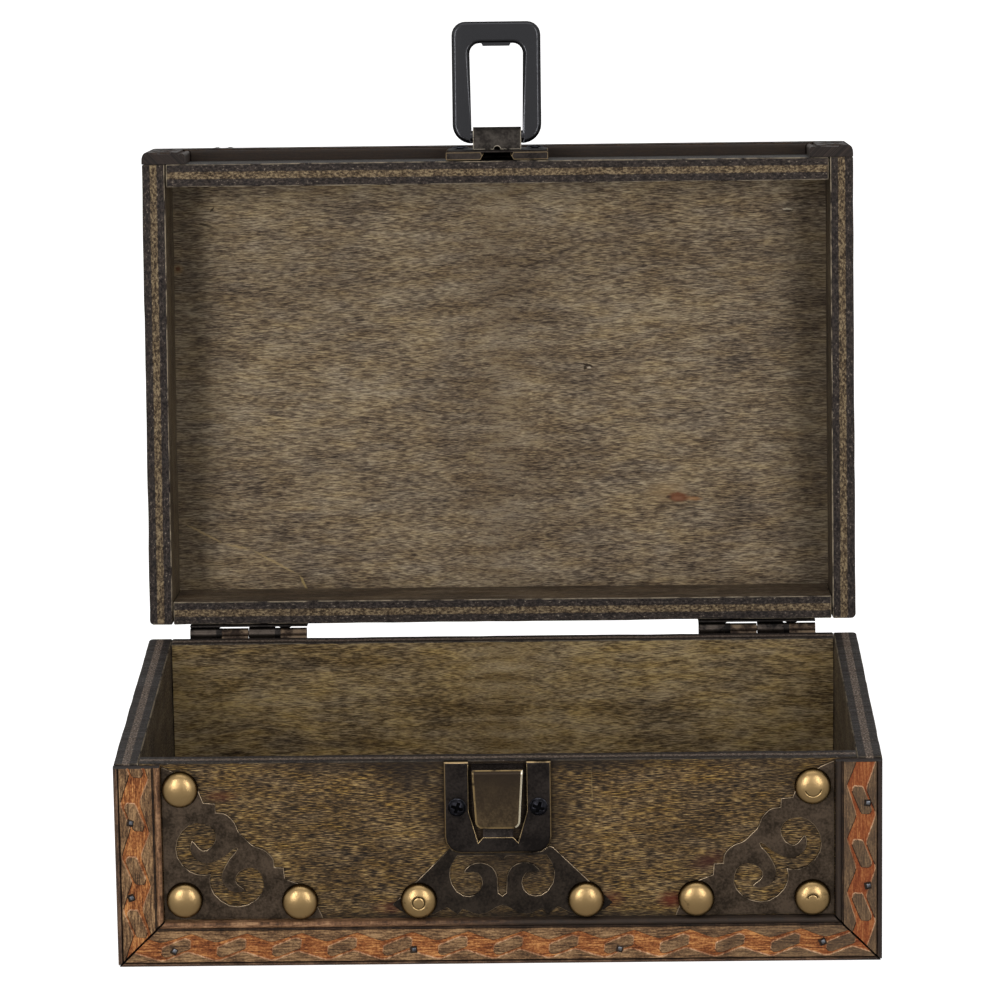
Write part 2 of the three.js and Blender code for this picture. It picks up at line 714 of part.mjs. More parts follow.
// Ring: a loop with rounded faces and a tab on its far bar, and a round bar that turns in the clip
function latchRing() {
  const outline = roundedRectangle(-ringHalf, -ringFoot, ringHalf, ringTop,
    [ringFootRound, ringFootRound, ringTopRound, ringTopRound]);
  const inner = [
    point(-ringInnerFootHalf, ringFoot),
    point(ringInnerFootHalf, ringFoot),
    ...roundedRectangle(-ringInnerHalf, ringFoot, ringInnerHalf, ringInnerTop,
      [0, 0, ringInnerRound, ringInnerRound]).slice(2),
  ];
  const tab = [point(ringTabHalf, ringInnerTop), point(ringTabHalf - ringTabDepth, tabRadius)];
  inner.splice(cornerSteps + 3, 0, ...tab, ...mirroredPoints(tab));
  const loop = forward(shapeOf(outline, inner), ringThick, ringBevel).translate(0, ringThick / 2, 0);
  const barGap = new THREE.BoxGeometry(2 * ringInnerFootHalf, 2 * ringThick, 4 * ringFoot)
    .translate(0, 0, -ringFoot);
  const barLength = 2 * (ringInnerFootHalf + barEmbed);
  const bar = new THREE.CylinderGeometry(barRadius, barRadius, barLength, roundSides).rotateZ(Math.PI / 2);
  return join(cut(loop, barGap), bar);
}

place(ringSwing, 'latch_ring', latchRing(), blackSteel);

// Hinges: each leaf carries two rolled knuckles, and the lid's leaf is the body's one turned over
function hingeLeaf() {
  const quarter = Math.PI / 2;
  const half = hingeLength / 2;
  const wallSideY = -hingeBack + seatGap;
  const outSideY = wallSideY + leafThick;
  const outline = roundedRectangle(-half, -leafHeight, half, -leafTop, [leafRound, leafRound, 0, 0]);
  const plate = forward(shapeOf(outline), leafThick).translate(0, outSideY, 0);
  const bore = arc(0, 0, pinRadius + pinClearance, 0, 4 * quarter, smallSides).slice(1);
  const barrel = arc(0, 0, barrelRadius, 0, 4 * quarter, roundSides).slice(1);
  const rollRadius = barrelRadius - leafThick / 4;
  const neckStart = THREE.MathUtils.degToRad(neckStartDegrees);
  const neckEnd = THREE.MathUtils.degToRad(neckEndDegrees);
  const neck = [
    point(wallSideY, -leafTop),
    point(wallSideY, -leafTop - leafThick),
    point(outSideY, -leafTop - leafThick),
    ...arc(0, 0, rollRadius, neckEnd, neckStart, 1),
  ];
  const knuckle = join(
    endways(shapeOf(barrel, bore), knuckleLength),
    endways(shapeOf(neck), knuckleLength),
  );
  const starts = [-knuckleGap / 2 - knuckleLength, half - knuckleLength];
  const knuckles = starts.map((x) => knuckle.clone().translate(x, 0, 0));
  const screwHoles = [-leafScrewOut, leafScrewOut].map((x) => (
    hole(x, -leafScrewDrop, outSideY, screwHole, leafThick + overrun, -1)
  ));
  return cut(join(plate, ...knuckles), ...screwHoles);
}

for (const [name, side] of [['left', -1], ['right', 1]]) {
  const x = side * hingeCentre;
  const seatY = backY + seatGap + leafThick;
  place(chest, `hinge_${name}_body_leaf`, hingeLeaf(), darkMetal, x, hingeY, hingeZ);
  place(lid, `hinge_${name}_lid_leaf`, hingeLeaf().rotateY(Math.PI), darkMetal, x, hingeY, hingeZ);
  const pin = new THREE.CylinderGeometry(pinRadius, pinRadius, hingeLength, smallSides);
  place(chest, `hinge_${name}_pin`, pin.rotateZ(Math.PI / 2), darkMetal, x, hingeY, hingeZ);
  for (const [end, out] of [['outer', side], ['inner', -side]]) {
    const screwX = x + out * leafScrewOut;
    const bodyZ = hingeZ - leafScrewDrop;
    const lidZ = hingeZ + leafScrewDrop;
    place(chest, `hinge_${name}_body_screw_${end}`, hingeScrew(), darkMetal, screwX, seatY, bodyZ);
    place(lid, `hinge_${name}_lid_screw_${end}`, hingeScrew(), darkMetal, screwX, seatY + seatGap, lidZ);
  }
}

export default chest;
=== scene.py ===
# %% [markdown]
# # A small wooden treasure chest, open
#
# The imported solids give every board, plate and screw its size and its place. This lesson lays finished
# pieces over them, with eased edges, carving and worn metal, and paints everything with node materials.
# Units are metres, +Z is up, and the front with the latch faces -Y.

# %% Load the solids
import json
import math

import bmesh
import bpy
from mathutils import Matrix, Vector, noise

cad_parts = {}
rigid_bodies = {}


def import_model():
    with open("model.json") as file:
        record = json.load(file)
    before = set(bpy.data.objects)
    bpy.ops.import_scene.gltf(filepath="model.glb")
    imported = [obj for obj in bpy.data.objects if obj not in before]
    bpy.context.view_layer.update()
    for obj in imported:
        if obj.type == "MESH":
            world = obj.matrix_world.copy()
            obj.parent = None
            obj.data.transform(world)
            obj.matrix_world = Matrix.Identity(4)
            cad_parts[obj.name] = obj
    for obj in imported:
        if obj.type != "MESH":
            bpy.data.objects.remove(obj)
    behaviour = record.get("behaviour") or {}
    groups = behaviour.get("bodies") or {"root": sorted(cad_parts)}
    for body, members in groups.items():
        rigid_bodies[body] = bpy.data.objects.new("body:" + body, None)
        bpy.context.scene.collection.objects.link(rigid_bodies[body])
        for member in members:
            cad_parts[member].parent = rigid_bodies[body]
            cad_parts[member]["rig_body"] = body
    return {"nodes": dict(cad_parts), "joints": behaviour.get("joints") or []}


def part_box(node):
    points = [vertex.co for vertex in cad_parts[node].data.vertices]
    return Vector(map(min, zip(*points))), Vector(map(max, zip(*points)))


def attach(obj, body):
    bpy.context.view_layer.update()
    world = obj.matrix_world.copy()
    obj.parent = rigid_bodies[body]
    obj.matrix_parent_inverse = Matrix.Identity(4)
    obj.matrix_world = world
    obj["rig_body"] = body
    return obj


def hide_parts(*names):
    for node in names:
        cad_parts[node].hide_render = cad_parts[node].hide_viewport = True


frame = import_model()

MM = 0.001
scene = bpy.context.scene
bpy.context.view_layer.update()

# %% [markdown]
# The lid is stored open. Its pieces are easier to build as if it were shut, square to the body, and to
# turn back on the hinge at the end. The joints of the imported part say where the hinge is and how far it
# opens, and the ring turns on a bar of its own in front of the lid.

# %% Turns between the shut and the open lid
joints = {joint["name"]: joint for joint in frame["joints"]}
hinge_axis = Vector(joints["lid_hinge"]["pos_m"])
open_angle = math.radians(joints["lid_hinge"]["range_deg"][1])
open_lid = (
    Matrix.Translation(hinge_axis)
    @ Matrix.Rotation(-open_angle, 4, "X")
    @ Matrix.Translation(-hinge_axis)
)
shut_lid = open_lid.inverted()
ring_pivot = shut_lid @ Vector(joints["ring_hinge"]["pos_m"])
ring_place = open_lid @ Matrix.Translation(ring_pivot) @ Matrix.Rotation(math.radians(90), 4, "X")
print("lid opens by", joints["lid_hinge"]["range_deg"][1], "degrees round", tuple(hinge_axis))


# %% Where a solid is while the lid is shut
def body_of(node):
    return frame["nodes"][node]["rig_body"]


def shut_box(node):
    """Lowest and highest corner of a solid, with the lid shut."""
    turn = Matrix() if body_of(node) == "body" else shut_lid
    corners = [turn @ vertex.co for vertex in frame["nodes"][node].data.vertices]
    low = Vector(min(corner[axis] for corner in corners) for axis in range(3))
    high = Vector(max(corner[axis] for corner in corners) for axis in range(3))
    return low, high


floor_low, floor_high = shut_box("floor_board")
front_y = floor_low.y
half_width = floor_high.x
lid_top = shut_box("lid_top_board")[1].z
print("shut chest is", round(2 * half_width, 4), "wide and", round(lid_top, 4), "high")

# %% [markdown]
# ## Camera
#
# A long lens from well in front and a little above keeps the boards' edges almost parallel, as in the
# photograph. Its place and turn were solved from the corners of the body and the lid.

# %% Camera at the photograph's place
photo_pixels = 1002
focal_pixels = 5522.2
sensor_mm = 36
camera_place = Vector((24.4, -1665.7, 508.8)) * MM
camera_pitch = math.radians(12.97)
camera_yaw = math.radians(-0.80)
camera_roll = math.radians(-0.785)

ahead = Vector((
    math.sin(camera_yaw) * math.cos(camera_pitch),
    math.cos(camera_yaw) * math.cos(camera_pitch),
    -math.sin(camera_pitch),
))
level_right = Vector((math.cos(camera_yaw), -math.sin(camera_yaw), 0))
level_up = level_right.cross(ahead)
right = level_right * math.cos(camera_roll) + level_up * math.sin(camera_roll)
up = level_up * math.cos(camera_roll) - level_right * math.sin(camera_roll)

camera_data = bpy.data.cameras.new("camera")
camera_data.sensor_width = sensor_mm
camera_data.lens = focal_pixels / photo_pixels * sensor_mm
camera = bpy.data.objects.new("camera", camera_data)
camera.matrix_world = (
    Matrix.Translation(camera_place) @ Matrix((right, up, -ahead)).transposed().to_4x4()
)
scene.collection.objects.link(camera)
scene.camera = camera
scene.view_settings.view_transform = "Standard"
print("lens", round(camera_data.lens, 1), "mm")

# %% [markdown]
# ## Helpers for materials
#
# Colours are written as sRGB hex values, the way a colour picker shows them, and one function turns them
# linear, which is what shader sockets expect. Another adds a node with its settings, its links and, for a
# colour ramp, its stops.


# %% Colour and node helpers
def linear(hex_colour):
    """Linear RGBA of an sRGB colour such as '#5a4a30'."""
    channels = [int(hex_colour[i:i + 2], 16) / 255 for i in (1, 3, 5)]
    turned = [c / 12.92 if c <= 0.04045 else ((c + 0.055) / 1.055) ** 2.4 for c in channels]
    return (*turned, 1)


def add(tree, kind, inputs=None, stops=(), **settings):
    """A new node: an input is a value or another node's output, and stops are (place, hex) of a ramp."""
    made = tree.nodes.new("ShaderNode" + kind)
    for name, value in settings.items():
        setattr(made, name, value)
    for socket, value in (inputs or {}).items():
        if isinstance(value, bpy.types.NodeSocket):
            tree.links.new(value, made.inputs[socket])
        else:
            made.inputs[socket].default_value = value
    stops = list(stops)
    if stops:
        elements = made.color_ramp.elements
        while len(elements) < len(stops):
            elements.new(1)
        for element, (place, colour) in zip(elements, stops):
            element.position = place
            element.color = linear(colour)
    return made


def new_material(name):
    """An empty material with its node tree and its shader."""
    material = bpy.data.materials.new(name)
    material.use_nodes = True
    tree = material.node_tree
    return material, tree, tree.nodes["Principled BSDF"]


# %% [markdown]
# ## Stage
#
# The photograph has a white background and hardly a shadow on the floor. Two tall softboxes stand 22
# degrees to either side: each side wall of the lid, 35 mm deep, throws a shadow 14 mm wide on the panel
# behind it, and each dome tack mirrors both. A faint one above fills the inside. The floor is pale and
# matt, and to the camera it is lifted to white.

# %% White room
ambient = 0.18
room = bpy.data.worlds.new("room")
scene.world = room
room.use_nodes = True
room_tree = room.node_tree
room_tree.nodes.clear()
rays = add(room_tree, "LightPath").outputs
seen = rays["Is Camera Ray"]
for kind in ("Is Glossy Ray", "Is Transmission Ray"):
    seen = add(room_tree, "Math", {0: seen, 1: rays[kind]}, operation="MAXIMUM").outputs[0]
strength = add(room_tree, "MapRange", {0: seen, 3: ambient, 4: 1.0}).outputs[0]
background = add(room_tree, "Background", {"Color": (1, 1, 1, 1), "Strength": strength}).outputs[0]
add(room_tree, "OutputWorld", {"Surface": background})
print("room lights the chest at", ambient)

# %% Matt white paper: no gloss, and a tooth too fine to see
floor_lift = 0.95
tooth_per_metre = 900.0
floor_paint, tree, shader = new_material("matt_white_paper")
shader.inputs["Base Color"].default_value = linear("#f2f1ee")
shader.inputs["Roughness"].default_value = 0.9
tooth = add(tree, "TexNoise", {"Scale": tooth_per_metre, "Detail": 3.0}).outputs["Fac"]
tooth_bump = add(tree, "Bump", {"Height": tooth, "Strength": 0.1, "Distance": 0.1 * MM}).outputs[0]
tree.links.new(tooth_bump, shader.inputs["Normal"])
seen = add(tree, "LightPath").outputs["Is Camera Ray"]
lift = add(tree, "Math", {0: seen, 1: floor_lift}, operation="MULTIPLY").outputs[0]
shader.inputs["Emission Color"].default_value = (1, 1, 1, 1)
tree.links.new(lift, shader.inputs["Emission Strength"])

# %% Lay the floor
floor_radius = 6.0
floor_gap = 0.02 * MM
bm = bmesh.new()
bmesh.ops.create_circle(bm, cap_ends=True, segments=96, radius=floor_radius)
floor_mesh = bpy.data.meshes.new("paper_floor")
bm.to_mesh(floor_mesh)
bm.free()
floor_mesh.materials.append(floor_paint)
paper_floor = bpy.data.objects.new("paper_floor", floor_mesh)
paper_floor.location.z = -floor_gap
scene.collection.objects.link(paper_floor)

# %% Softboxes
look_at = Vector((0, 0, 110)) * MM
softboxes = {
    "softbox_left": ((-614, -1520, 200), 300, 1500, 15.5),
    "softbox_right": ((614, -1520, 200), 300, 1500, 12.5),
    "softbox_above": ((0, -400, 1300), 1100, 700, 3.5),
}
for name, (place, width, height, power) in softboxes.items():
    lamp = bpy.data.lights.new(name, "AREA")
    lamp.shape = "RECTANGLE"
    lamp.size = width * MM
    lamp.size_y = height * MM
    lamp.energy = power
    holder = bpy.data.objects.new(name, lamp)
    holder.location = Vector(place) * MM
    holder.rotation_euler = (look_at - holder.location).to_track_quat("-Z", "Y").to_euler()
    scene.collection.objects.link(holder)
    print(name, power, "W")

# %% [markdown]
# ## Stained plywood
#
# The boards are three-ply: two dark-stained veneers round a paler core. A face shows fine dark dashes
# along its grain in cloudy stain, and a cut edge shows the plies as stripes. Patterns are laid out in
# millimetres on the shut chest, on axes that follow the board: along its grain, across it, and through it.


# %% Place on a board, and noise stretched along the grain
def board_axes(tree, node, along, across, through):
    """Sockets with the place on a board in mm: along, across, and through it from its middle."""
    low, high = shut_box(node)
    spot = add(tree, "TexCoord").outputs["Object"]
    if body_of(node) == "lid":
        home = hinge_axis - shut_lid.to_3x3() @ hinge_axis
        turned = {"Vector": spot, "Location": home, "Rotation": (open_angle, 0, 0)}
        spot = add(tree, "Mapping", turned).outputs[0]
    spot = add(tree, "VectorMath", {0: spot, "Scale": 1000.0}, operation="SCALE").outputs[0]
    axes = add(tree, "SeparateXYZ", {0: spot}).outputs
    middle = (high + low)["XYZ".index(through)] / 2 / MM
    depth = add(tree, "Math", {0: axes[through], 1: middle}, operation="SUBTRACT").outputs[0]
    return axes[along], axes[across], depth


def stretched_noise(tree, place, size, detail=3.0, low=0.32, high=0.68):
    """Noise with spots of the given size in mm, spread over 0 to 1."""
    shares = tuple(1 / length for length in size)
    place = add(tree, "VectorMath", {0: place, 1: shares}, operation="MULTIPLY").outputs[0]
    noise_there = add(tree, "TexNoise", {"Vector": place, "Scale": 1.0, "Detail": detail, "Roughness": 0.62})
    return add(tree, "MapRange", {0: noise_there.outputs["Fac"], 1: low, 2: high}).outputs[0]


# %% [markdown]
# Rotary-cut veneer has no long straight lines: its pores are cut open as short dashes, 1 to 4 mm long.
# They hold the stain, so they are nearly black. Real pores are about a tenth of a millimetre wide and
# would not show, so they are drawn 0.3 mm wide, about one pixel of the render. Between them the fibres
# go from tan to grey in uneven bands, and a slow wander keeps everything from looking ruled.


# %% Veneer
def veneer_colour(tree, u, v, seed, stops, dark, cloudy, pored):
    """Colour of a stained face, and the height of its fibres.

    Dark is how far the stain darkens it, cloudy its share of broad blotches, and pored that of open pores.
    """
    flat_place = add(tree, "CombineXYZ", {0: u, 1: v, 2: seed}).outputs[0]
    wander = stretched_noise(tree, flat_place, (50, 22, 1), 2.0)
    v_bent = add(tree, "Math", {0: wander, 1: 0.9, 2: v}, operation="MULTIPLY_ADD").outputs[0]
    weave = add(tree, "CombineXYZ", {0: u, 1: v_bent, 2: seed}).outputs[0]
    fibre = stretched_noise(tree, weave, (2.6, 0.3, 1), 2.0, 0.36, 0.64)
    tone = -dark
    layers = [
        (fibre, 0.8 - 0.8 * cloudy),
        (stretched_noise(tree, weave, (5, 0.9, 1)), 0.2 - 0.2 * cloudy),
        (stretched_noise(tree, weave, (22, 4, 1)), 0.45 * cloudy),
        (stretched_noise(tree, weave, (28, 18, 1)), 0.55 * cloudy),
    ]
    for pattern, weight in layers:
        tone = add(tree, "Math", {0: pattern, 1: weight, 2: tone}, operation="MULTIPLY_ADD").outputs[0]
    stained = zip((0.18, 0.42, 0.62, 0.85), stops)
    colour = add(tree, "ValToRGB", {"Fac": tone}, stops=stained).outputs["Color"]

    # Tan and grey take turns in streaks
    grey = stretched_noise(tree, weave, (14, 4.0, 1), 3.0)
    grey = add(tree, "MapRange", {0: grey, 3: 1.06, 4: 0.82}).outputs[0]
    colour = add(tree, "HueSaturation", {"Saturation": grey, "Color": colour}).outputs[0]
    pore = stretched_noise(tree, weave, (2.8, 0.3, 1), 1.0, 0.54, 0.64)
    pore = add(tree, "Math", {0: pore, 1: pored}, operation="MULTIPLY").outputs[0]
    colour = add(tree, "Mix", {0: pore, 6: colour, 7: linear("#1b1611")}, data_type="RGBA").outputs[2]
    return colour, fibre


# %% [markdown]
# Knots, scars, cracks, spilt stain and painted shadows are single events, so each is placed one by one as
# a soft ellipse on the side of the board that shows. Its outline is shaken a little by noise.


# %% Single marks on a board
mark_shake = 0.9


def with_marks(tree, colour, u, v, depth, marks):
    """Each mark: centre, half sizes, tilt in degrees, colour, strength, and share that fades out."""
    place = add(tree, "CombineXYZ", {0: u, 1: v}).outputs[0]
    shake = add(tree, "TexNoise", {"Vector": place, "Scale": 0.9, "Detail": 3.0}).outputs["Color"]
    shaken = {0: shake, 1: (mark_shake, mark_shake, 0.0), 2: place}
    place = add(tree, "VectorMath", shaken, operation="MULTIPLY_ADD").outputs[0]
    shown = add(tree, "Math", {0: depth, 1: 0.0}, operation="LESS_THAN").outputs[0]
    for (along, across), (half_along, half_across), tilt, tint, strength, fade in marks:
        local = add(tree, "Mapping", {
            "Vector": place,
            "Location": (along + mark_shake / 2, across + mark_shake / 2, 0),
            "Rotation": (0, 0, math.radians(tilt)),
            "Scale": (half_along, half_across, 1),
        }, vector_type="TEXTURE").outputs[0]
        reach = add(tree, "VectorMath", {0: local}, operation="LENGTH").outputs["Value"]
        cover = add(tree, "MapRange", {0: reach, 1: 1.0, 2: 1.0 - fade, 3: 0.0, 4: strength}).outputs[0]
        cover = add(tree, "Math", {0: cover, 1: shown}, operation="MULTIPLY").outputs[0]
        colour = add(tree, "Mix", {0: cover, 6: colour, 7: linear(tint)}, data_type="RGBA").outputs[2]
    return colour


# %% [markdown]
# A sawn edge is coarser. The outer plies drank the stain and are almost black with pale specks, and the
# core stayed tan on the lid. On the body's rim, which faces up, all plies are darker: partly stain and partly
# painted shade.


# %% Cut edges
ply_wander = 0.16


def ply_colour(tree, u, v, depth, thick, seed, outer_stops, core_stops):
    """Colour of a sawn edge and the height of its grain."""
    place = add(tree, "CombineXYZ", {0: u, 1: v, 2: depth}).outputs[0]
    place = add(tree, "VectorMath", {0: place, 1: (seed, 0, 0)}).outputs[0]
    ragged = stretched_noise(tree, place, (2.5, 2.5, 2.5))
    edge = add(tree, "Math", {0: ragged, 1: ply_wander, 2: depth}, operation="MULTIPLY_ADD").outputs[0]
    from_face = {0: edge, 1: 1 / thick, 2: 0.5 - ply_wander / 2 / thick}
    share = add(tree, "Math", from_face, operation="MULTIPLY_ADD").outputs[0]
    band = [(0.33, "#000000"), (0.36, "#ffffff"), (0.63, "#ffffff"), (0.66, "#000000")]
    in_core = add(tree, "ValToRGB", {"Fac": share}, stops=band).outputs["Color"]
    speck = stretched_noise(tree, place, (0.9, 0.9, 0.55), 4.0)
    core_tones = zip((0.15, 0.5, 0.85), core_stops)
    core = add(tree, "ValToRGB", {"Fac": speck}, stops=core_tones).outputs["Color"]
    outer_tones = zip((0.2, 0.55, 0.93, 1.0), outer_stops)
    outer = add(tree, "ValToRGB", {"Fac": speck}, stops=outer_tones).outputs["Color"]
    colour = add(tree, "Mix", {0: in_core, 6: outer, 7: core}, data_type="RGBA").outputs[2]
    return colour, speck


# %% [markdown]
# The material of a board puts these together. Numbers on the faces of the mesh tell it which faces are
# veneer and which are the eased arrises, where handling has rubbed the stain off in a thin pale line.

# %% Veneers, from the darkest pore to the palest fibre, and plies
grey_veneer = ("#3a2f25", "#665644", "#877459", "#ab9876")
gold_veneer = ("#0d0905", "#3d2e1b", "#705631", "#a88a50")
olive_veneer = ("#2b2013", "#5b4a2f", "#89724c", "#ae9664")
dim_veneer = ("#1c1814", "#352d25", "#4f4436", "#6f604a")
lid_plies = (("#171211", "#2f2824", "#463c36", "#877c6d"), ("#2d2319", "#5c4c39", "#8f7d60"))
# The body's rim faces up: its plies are darker, partly stain and partly painted shade
body_plies = (("#0d0a09", "#211b18", "#3a322c", "#75695d"), ("#2a221d", "#5d4f44", "#96877a"))


# %% Colour, relief and gloss of a surface
def finish_surface(tree, shader, colour, height, relief, gloss):
    """Links colour, bump and gloss to the shader; relief is the bump's strength and its depth in mm."""
    strength, deep = relief
    bump = add(tree, "Bump", {"Height": height, "Strength": strength, "Distance": deep * MM})
    for socket, value in (("Base Color", colour), ("Normal", bump.outputs[0]), ("Roughness", gloss)):
        tree.links.new(value, shader.inputs[socket])


# %% Stained plywood for one board
wood_shine = 0.15
wood_relief = (0.5, 0.12)


def stained_plywood(node, along, across, through, veneer_stops, look, ply_stops, marks):
    """Three-ply board: along, across and through name the axes of its grain, width and thickness."""
    material, tree, shader = new_material("stained_plywood_" + node)
    low, high = shut_box(node)
    u, v, depth = board_axes(tree, node, along, across, through)
    seed = sum(ord(letter) for letter in node) * 7.3
    veneer, fibre = veneer_colour(tree, u, v, seed, veneer_stops, *look)
    veneer = with_marks(tree, veneer, u, v, depth, marks)
    thick = (high - low)["XYZ".index(through)] / MM
    plies, speck = ply_colour(tree, u, v, depth, thick, seed, *ply_stops)
    is_veneer = add(tree, "Attribute", attribute_name="veneer").outputs["Fac"]
    colour = add(tree, "Mix", {0: is_veneer, 6: plies, 7: veneer}, data_type="RGBA").outputs[2]
    arris = add(tree, "Attribute", attribute_name="arris").outputs["Fac"]
    place = add(tree, "CombineXYZ", {0: u, 1: v, 2: depth}).outputs[0]
    rub = stretched_noise(tree, place, (5, 5, 5), 5.0, 0.38, 0.58)
    rub = add(tree, "Math", {0: rub, 1: arris}, operation="MULTIPLY").outputs[0]
    colour = add(tree, "Mix", {0: rub, 6: colour, 7: linear("#a2947e")}, data_type="RGBA").outputs[2]

    # Open pores scatter the light; the stain leaves a dull sheen
    height = add(tree, "Mix", {0: is_veneer, 2: speck, 3: fibre}, data_type="FLOAT").outputs[0]
    gloss = add(tree, "MapRange", {0: fibre, 3: 0.72, 4: 0.55}).outputs[0]
    finish_surface(tree, shader, colour, height, wood_relief, gloss)
    shader.inputs["Specular IOR Level"].default_value = wood_shine
    return material


# %% [markdown]
# ## Boards
#
# A sawn board is a box with its edges eased by hand. A bmesh cube is scaled to the solid, its edges are
# bevelled, and cuts along its length let every arris wander inwards a little, as worn edges do. The outer
# upright corners at the back are rounder than the rest.


# %% Finish a mesh as a piece of the chest
def piece(name, bm, body, materials, replaces=(), smooth=40):
    """Turns a bmesh, built with the lid shut, into a piece that rides on its body."""
    if body == "lid":
        bmesh.ops.transform(bm, matrix=open_lid, verts=bm.verts)
    mesh = bpy.data.meshes.new(name)
    bm.to_mesh(mesh)
    bm.free()
    for material in materials:
        mesh.materials.append(material)
    mesh.shade_smooth()
    mesh.set_sharp_from_angle(angle=math.radians(smooth))
    made = bpy.data.objects.new(name, mesh)
    flat_first = made.modifiers.new("keep_flats_flat", "WEIGHTED_NORMAL")
    flat_first.keep_sharp = True
    scene.collection.objects.link(made)
    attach(made, body)
    if replaces:
        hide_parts(*replaces)
    print(name, len(mesh.polygons), "faces")


# %% Cut and ease a board
board_ease = 0.35 * MM
back_round = 1.5 * MM
wear_depth = 0.2 * MM
cut_spacing = 5 * MM
chest_middle = Vector((0, 0, lid_top / 2))


def slice_along(bm, low, high, spacing):
    """Cuts a mesh square to each axis at even steps."""
    for axis in range(3):
        steps = int((high[axis] - low[axis]) / spacing)
        for i in range(1, steps):
            place = Vector((0, 0, 0))
            place[axis] = low[axis] + (high[axis] - low[axis]) * i / steps
            square = Vector(1.0 if k == axis else 0.0 for k in range(3))
            everything = [*bm.verts, *bm.edges, *bm.faces]
            bmesh.ops.bisect_plane(bm, geom=everything, plane_co=place, plane_no=square)


def board_block(low, high, rounded_corners):
    """A box between two corners, with rounder upright edges at the given (x sign, y sign) corners."""
    bm = bmesh.new()
    bm.faces.layers.float.new("veneer")
    bm.faces.layers.float.new("arris")
    middle = (high + low) / 2
    bmesh.ops.create_cube(bm, size=1)
    bmesh.ops.scale(bm, vec=high - low, verts=bm.verts)
    bmesh.ops.translate(bm, vec=middle, verts=bm.verts)
    corners = [
        edge for edge in bm.edges for x, y in rounded_corners
        if all((vertex.co.x - middle.x) * x > 0 and (vertex.co.y - middle.y) * y > 0 for vertex in edge.verts)
    ]
    if corners:
        bmesh.ops.bevel(bm, geom=corners, offset=back_round, affect="EDGES", segments=4, profile=0.5,
                        material=-1)
    return bm


def eased_board(node, through, rounded_corners, rub_inside, rub_outside):
    """A board over a solid; the two numbers say how far its inner and outer arrises are rubbed."""
    low, high = shut_box(node)
    middle = (high + low) / 2
    axis = "XYZ".index(through)
    inward = 1 if chest_middle[axis] > middle[axis] else -1
    bm = board_block(low, high, rounded_corners)
    veneer, arris = (bm.faces.layers.float[name] for name in ("veneer", "arris"))
    sharp = [edge for edge in bm.edges if edge.calc_face_angle() > math.radians(40)]
    eased = bmesh.ops.bevel(bm, geom=sharp, offset=board_ease, affect="EDGES", segments=1, profile=0.5,
                            material=-1)["faces"]
    bm.normal_update()
    for face in bm.faces:
        face[veneer] = float(abs(face.normal[axis]) > 0.99)
    for face in eased:
        inside = (face.calc_center_median()[axis] - middle[axis]) * inward > 0
        face[arris] = rub_inside if inside else rub_outside
    slice_along(bm, low, high, cut_spacing)
    bm.normal_update()
    seed = Vector((len(node), low.x * 7, low.z * 7))
    for vertex in {vertex for face in bm.faces if face[arris] > 0 for vertex in face.verts}:
        worn = noise.noise(vertex.co * 60 + seed) + 0.5 * noise.noise(vertex.co * 260 + seed)
        vertex.co -= vertex.normal * wear_depth * max(0.0, 0.3 + worn)
    return bm
